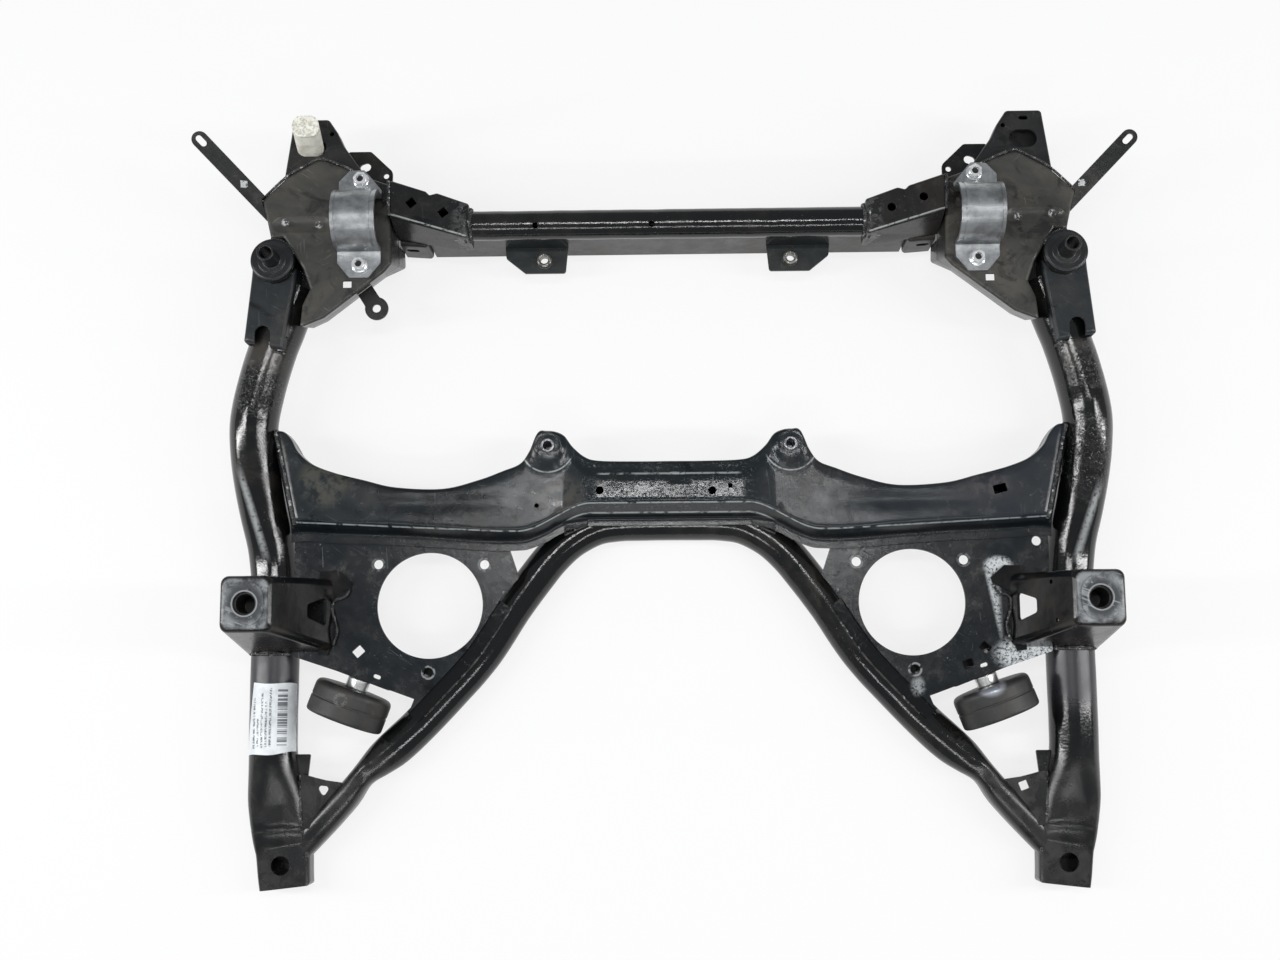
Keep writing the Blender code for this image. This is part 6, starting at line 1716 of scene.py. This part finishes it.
def rail_label():
    """The label's film, wrapped over the left rail with slightly lifted, uneven ends."""
    columns, rows = 30, 26
    points, faces = [], []
    stations = rail_stations()
    for skin in (0.5, 1.15):
        for row in range(rows):
            for column in range(columns):
                share, down = column / (columns - 1), row / (rows - 1)
                ripple = 0.7 * math.sin(share * 7.0) * (1 - down) ** 6
                ripple += 0.9 * math.sin(share * 9.0) * down ** 8
                y = -190.0 + share - (71.0 + 5.0 * share) * down + ripple
                x, z, width, height = along_rail(stations, y)
                angle = math.radians(14.0 + (114.0 + 20.0 * down) * share)
                lift = skin + 0.35 * (noise.noise(Vector((share * 4, down * 5, 1.0))) + 0.5)
                points.append((
                    -x + (width / 2 + lift) * math.cos(angle), y, z + (height / 2 + lift) * math.sin(angle)
                ))
    size = rows * columns
    for row in range(rows - 1):
        for column in range(columns - 1):
            a = row * columns + column
            quad = (a, a + 1, a + 1 + columns, a + columns)
            faces.append(quad[::-1])
            faces.append(tuple(index + size for index in quad))
    rim = list(range(columns))
    rim += [row * columns + columns - 1 for row in range(1, rows)]
    rim += [(rows - 1) * columns + column for column in range(columns - 2, -1, -1)]
    rim += [row * columns for row in range(rows - 2, 0, -1)]
    for a, b in zip(rim, rim[1:] + rim[:1]):
        faces.append((a, b, b + size, a + size))
    label = add_object("label", mesh_of("label", points, faces))
    single(label, "rail_label", LABEL, "label_film", bevel=0)


def along_rail(stations, y):
    for before, after in zip(stations, stations[1:]):
        if before[1] <= y <= after[1]:
            share = (y - before[1]) / (after[1] - before[1])
            mixed = [a + (b - a) * share for a, b in zip(before, after)]
            return mixed[0], mixed[2], mixed[3], mixed[4]
    raise ValueError("the label lies off the rail")


# Weld beads

def bead_tree():
    """A bead along a curve: a round cord with overlapping ripples set across it."""
    tree = bpy.data.node_groups.new("weld_bead", "GeometryNodeTree")
    face = tree.interface
    face.new_socket("Geometry", in_out="INPUT", socket_type="NodeSocketGeometry")
    for name, kind in (("Width", "Float"), ("Spacing", "Float"), ("Seed", "Int"), ("Finish", "Material")):
        face.new_socket(name, in_out="INPUT", socket_type="NodeSocket" + kind)
    face.new_socket("Geometry", in_out="OUTPUT", socket_type="NodeSocketGeometry")

    def add(kind, settings=None, links=None, values=None):
        made = tree.nodes.new(kind)
        for key, value in (settings or {}).items():
            setattr(made, key, value)
        for key, value in (values or {}).items():
            made.inputs[key].default_value = value
        for key, source in (links or {}).items():
            tree.links.new(source, made.inputs[key])
        return made

    given = add("NodeGroupInput").outputs
    half = add("ShaderNodeMath", {"operation": "MULTIPLY"}, {0: given["Width"]}, {1: 0.5}).outputs[0]
    core = add("ShaderNodeMath", {"operation": "MULTIPLY"}, {0: given["Width"]}, {1: 0.36}).outputs[0]
    path = add(
        "GeometryNodeResampleCurve", {"mode": "LENGTH"},
        {"Curve": given["Geometry"], "Length": given["Spacing"]},
    )
    ring = add("GeometryNodeCurvePrimitiveCircle", links={"Radius": core}, values={"Resolution": 10})
    cord = add(
        "GeometryNodeCurveToMesh", links={"Curve": path.outputs[0], "Profile Curve": ring.outputs[0]},
        values={"Fill Caps": True},
    )
    spots = add("GeometryNodeCurveToPoints", {"mode": "EVALUATED"}, {0: path.outputs[0]})
    ripple = add("GeometryNodeMeshUVSphere", links={"Radius": half}, values={"Segments": 10, "Rings": 6})
    size = add(
        "FunctionNodeRandomValue", {"data_type": "FLOAT_VECTOR"}, {"Seed": given["Seed"]},
        {0: (0.82, 0.88, 0.34), 1: (1.08, 1.12, 0.5)},
    )
    copies = add(
        "GeometryNodeInstanceOnPoints",
        links={
            "Points": spots.outputs["Points"], "Instance": ripple.outputs["Mesh"],
            "Rotation": spots.outputs["Rotation"], "Scale": size.outputs[0],
        },
    )
    both = add("GeometryNodeJoinGeometry", links={0: cord.outputs[0]})
    tree.links.new(copies.outputs[0], both.inputs[0])
    real = add("GeometryNodeRealizeInstances", links={0: both.outputs[0]})
    shade = add("GeometryNodeSetShadeSmooth", links={0: real.outputs[0]})
    paint = add("GeometryNodeSetMaterial", links={"Geometry": shade.outputs[0], "Material": given["Finish"]})
    add("NodeGroupOutput", links={0: paint.outputs[0]})
    return tree


BEAD = bead_tree()
SOCKETS = {item.name: item.identifier for item in BEAD.interface.items_tree if item.in_out == "INPUT"}


def dropped(path, trees, default, sink=0.4):
    """The plan path laid on the highest surface under it."""
    points = []
    for x, y in smooth_path(path, 6):
        heights = []
        for tree in trees:
            hit = tree.ray_cast(Vector((x * MM, (y + DATUM_Y) * MM, 0.3)), Vector((0, 0, -1)))[0]
            if hit:
                heights.append(hit.z / MM)
        points.append((x, y, (max(heights) if heights else default) - sink))
    return points


def weld(name, points, width=5.0, spacing=1.9, seed=1):
    """A bead along points in datum millimetres."""
    curve = bpy.data.curves.new(name, "CURVE")
    curve.dimensions = "3D"
    spline = curve.splines.new("POLY")
    spline.points.add(len(points) - 1)
    for spot, (x, y, z) in zip(spline.points, points):
        spot.co = (x * MM, (y + DATUM_Y) * MM, z * MM, 1)
    guide = bpy.data.objects.new(name + "_guide", curve)
    BENCH.objects.link(guide)
    made = guide.modifiers.new("bead", "NODES")
    made.node_group = BEAD
    made[SOCKETS["Width"]] = width * MM
    made[SOCKETS["Spacing"]] = spacing * MM
    made[SOCKETS["Seed"]] = seed
    made[SOCKETS["Finish"]] = WELD
    obj = bpy.data.objects.new(name, taken(guide))
    LOOK.objects.link(obj)
    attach(obj, "root")


def surface(*names):
    trees = []
    for name in names:
        obj = bpy.data.objects[name]
        shape = bmesh.new()
        shape.from_mesh(obj.data)
        trees.append(BVHTree.FromBMesh(shape))
        shape.free()
    return trees


def round_tube(x, y, z, radius, start, end, steps=14):
    """An arc across the front tube at a place along X; angles from the front over the top."""
    points = []
    for step in range(steps + 1):
        angle = math.radians(start + (end - start) * step / steps)
        points.append((x, y + radius * math.cos(angle), z + radius * math.sin(angle)))
    return points


def welds():
    cross = surface("crossmember_upper_look")
    rails = surface("side_rail_look_right", "side_rail_look_left")
    brace = surface("v_brace_look")
    for side, sign in (("right", 1), ("left", -1)):
        def lay(name, path, trees, default=60.0, sink=0.4, **bead):
            """A bead along a seam of this side, on the surfaces under it."""
            path = [(x * sign, y) for x, y in path]
            weld(f"weld_{name}_{side}", dropped(path, trees, default, sink), **bead)

        seam = [(420.5, 77.5), (412.5, 50.0), (405.5, 18.0), (399.0, -10.0), (396.5, -22.0)]
        lay("rail_cross", seam, rails + cross, width=6.4, seed=3)
        lay("brace_foot", [(381.0, -346.0), (383.0, -358.0), (384.0, -370.0)], rails, 20.0, 1.0, seed=5)
        seam = [(391.5, -286.0), (391.5, -300.0), (390.0, -322.0), (388.5, -338.0)]
        lay("gusset_rail", seam, rails, 34, width=4, seed=6)
        seam = [(404.0, -79.5), (420.0, -79.0), (436.0, -79.5), (447.0, -81.0)]
        lay("tower_rail_front", seam, rails, seed=7)
        seam = [(404.0, -158.5), (420.0, -159.0), (436.0, -159.0), (447.0, -158.0)]
        lay("tower_rail_rear", seam, rails, seed=8)
        lay("channel_rail", [(409.0, 158.5), (415.0, 159.8), (420.5, 160.8)], rails, 86, seed=9, width=4)
        seam = [(397.0, 263.0), (403.0, 272.0), (412.0, 278.0), (421.0, 279.0)]
        lay("barrel_corner", seam, [], 99.0, seed=10, width=4)
        lip = [(339.5, -91.0), (344.0, -99.0), (356.0, -104.0), (357.0, -116.0)]
        lip += [(352.0, -134.0), (356.0, -150.0)]
        seam = [(x * sign, y, 52.6) for x, y in lip]
        weld(f"weld_tower_lip_{side}", smooth_path(seam, 5), width=3.6, spacing=1.5, seed=11)
        arc_line = round_tube(208.4 * sign, TUBE_Y, TUBE_Z, TUBE_OD / 2 + 1.0, 10, 178)
        weld(f"weld_tube_end_{side}", arc_line, width=5.4, spacing=1.9, seed=12)
        arc_line = round_tube(213.5 * sign, TUBE_Y, TUBE_Z, TUBE_OD / 2 + 3.0, 18, 172)
        weld(f"weld_tube_collar_{side}", arc_line, width=3.4, spacing=1.6, seed=13)
        seam = [(294.5 * sign, 336.0, 113.0), (294.2 * sign, 318.0, 113.0), (293.6 * sign, 300.0, 112.0)]
        weld(f"weld_bracket_corner_{side}", smooth_path(seam, 6), width=4.4, spacing=1.8, seed=14)
        lid = [(331.0, 351.2), (346.5, 359.0), (359.0, 364.5), (371.0, 367.6), (383.0, 362.5)]
        lid += [(406.5, 348.2), (432.0, 323.2)]
        seam = [(x * sign, y, 97.6) for x, y in lid]
        weld(f"weld_lid_front_{side}", smooth_path(seam, 6), width=3.4, spacing=1.1, seed=17)
        lay("mount_brace", brace_side(0.4)[::3], brace, 41.0, 0.2, width=3.6, spacing=1.7, seed=15)
    half = [(-112, -34), (-92, -25), (-75, -21), (-40, -19.6)]
    apex = half + [(0, -19.6)] + [(-x, y) for x, y in half[::-1]]
    weld("weld_apex", dropped(apex, brace, 41.0, 0.2), width=4.2, spacing=1.8, seed=16)


side_rails()
v_brace()
crossmember()
engine_mount_plates()
dampers()
towers()
corner_boxes()
front_brackets()
stays()
bar_clamps()
bushes()
channel_brackets()
front_tube_and_beam()
small_pieces()
rail_label()
welds()
for bench_object in list(BENCH.objects):
    bpy.data.objects.remove(bench_object, do_unlink=True)
bpy.data.collections.remove(BENCH)


# Floor, light and camera

def floor():
    mesh = bpy.data.meshes.new("floor")
    reach = 60.0
    corners = [(-reach, -reach, 0), (reach, -reach, 0), (reach, reach, 0), (-reach, reach, 0)]
    mesh.from_pydata(corners, [], [(0, 1, 2, 3)])
    made = bpy.data.materials.new("floor_white")
    made.use_nodes = True
    tree = made.node_tree
    shader = tree.nodes["Principled BSDF"]
    shader.inputs["Base Color"].default_value = (0.80, 0.80, 0.80, 1)
    shader.inputs["Roughness"].default_value = 0.9
    shader.inputs["Specular IOR Level"].default_value = 0.0
    glow = tree.nodes.new("ShaderNodeEmission")
    glow.inputs["Color"].default_value = (1, 1, 1, 1)
    rays = tree.nodes.new("ShaderNodeLightPath").outputs
    seen = rays["Is Camera Ray"]
    for kind in ("Is Glossy Ray", "Is Transmission Ray"):
        either = tree.nodes.new("ShaderNodeMath")
        either.operation = "MAXIMUM"
        tree.links.new(seen, either.inputs[0])
        tree.links.new(rays[kind], either.inputs[1])
        seen = either.outputs[0]
    share = tree.nodes.new("ShaderNodeMath")
    share.operation = "MULTIPLY"
    share.inputs[1].default_value = 0.78
    tree.links.new(seen, share.inputs[0])
    mix = tree.nodes.new("ShaderNodeMixShader")
    tree.links.new(share.outputs[0], mix.inputs[0])
    tree.links.new(shader.outputs[0], mix.inputs[1])
    tree.links.new(glow.outputs[0], mix.inputs[2])
    tree.links.new(mix.outputs[0], tree.nodes["Material Output"].inputs["Surface"])
    mesh.materials.append(made)
    obj = bpy.data.objects.new("floor", mesh)
    bpy.context.scene.collection.objects.link(obj)


def lamp(name, centre, target, size, power, colour=(1, 1, 1)):
    light = bpy.data.lights.new(name, "AREA")
    light.shape = "RECTANGLE"
    light.size, light.size_y = size
    light.energy = power
    light.color = colour
    obj = bpy.data.objects.new(name, light)
    bpy.context.scene.collection.objects.link(obj)
    obj.location = centre
    toward = Vector(target) - Vector(centre)
    obj.rotation_euler = toward.to_track_quat("-Z", "Y").to_euler()


def lighting():
    world = bpy.data.worlds.new("studio")
    bpy.context.scene.world = world
    world.use_nodes = True
    back = world.node_tree.nodes["Background"]
    back.inputs["Color"].default_value = (0.93, 0.96, 1.0, 1)
    back.inputs["Strength"].default_value = 0.30
    lamp("left_strip", (-1.9, -0.1, 1.4), (0, 0, 0), (0.16, 2.2), 31)
    lamp("right_strip", (1.9, -0.1, 1.4), (0, 0, 0), (0.16, 2.2), 27)
    lamp("overhead_strip", (0.0, 0.2, 2.0), (0, 0.2, 0), (0.9, 0.09), 8)
    lamp("rear_strip", (0.0, -1.2, 1.8), (0, 0, 0), (1.6, 0.12), 9)


def camera():
    view = bpy.data.cameras.new("photo_camera")
    view.lens = 43.3
    view.sensor_width = 36.0
    obj = bpy.data.objects.new("photo_camera", view)
    bpy.context.scene.collection.objects.link(obj)
    right = Vector((0.99978, -0.00643, -0.02008))
    up = Vector((0.00921, 0.98991, 0.14139))
    ahead = Vector((-0.01897, 0.14155, -0.98975))
    turn = Matrix((right, up, -ahead)).transposed()
    obj.matrix_world = Matrix.Translation((0, -0.2156, 1.677)) @ turn.to_4x4()
    bpy.context.scene.camera = obj


floor()
lighting()
camera()
bpy.context.scene.view_settings.view_transform = "Standard"
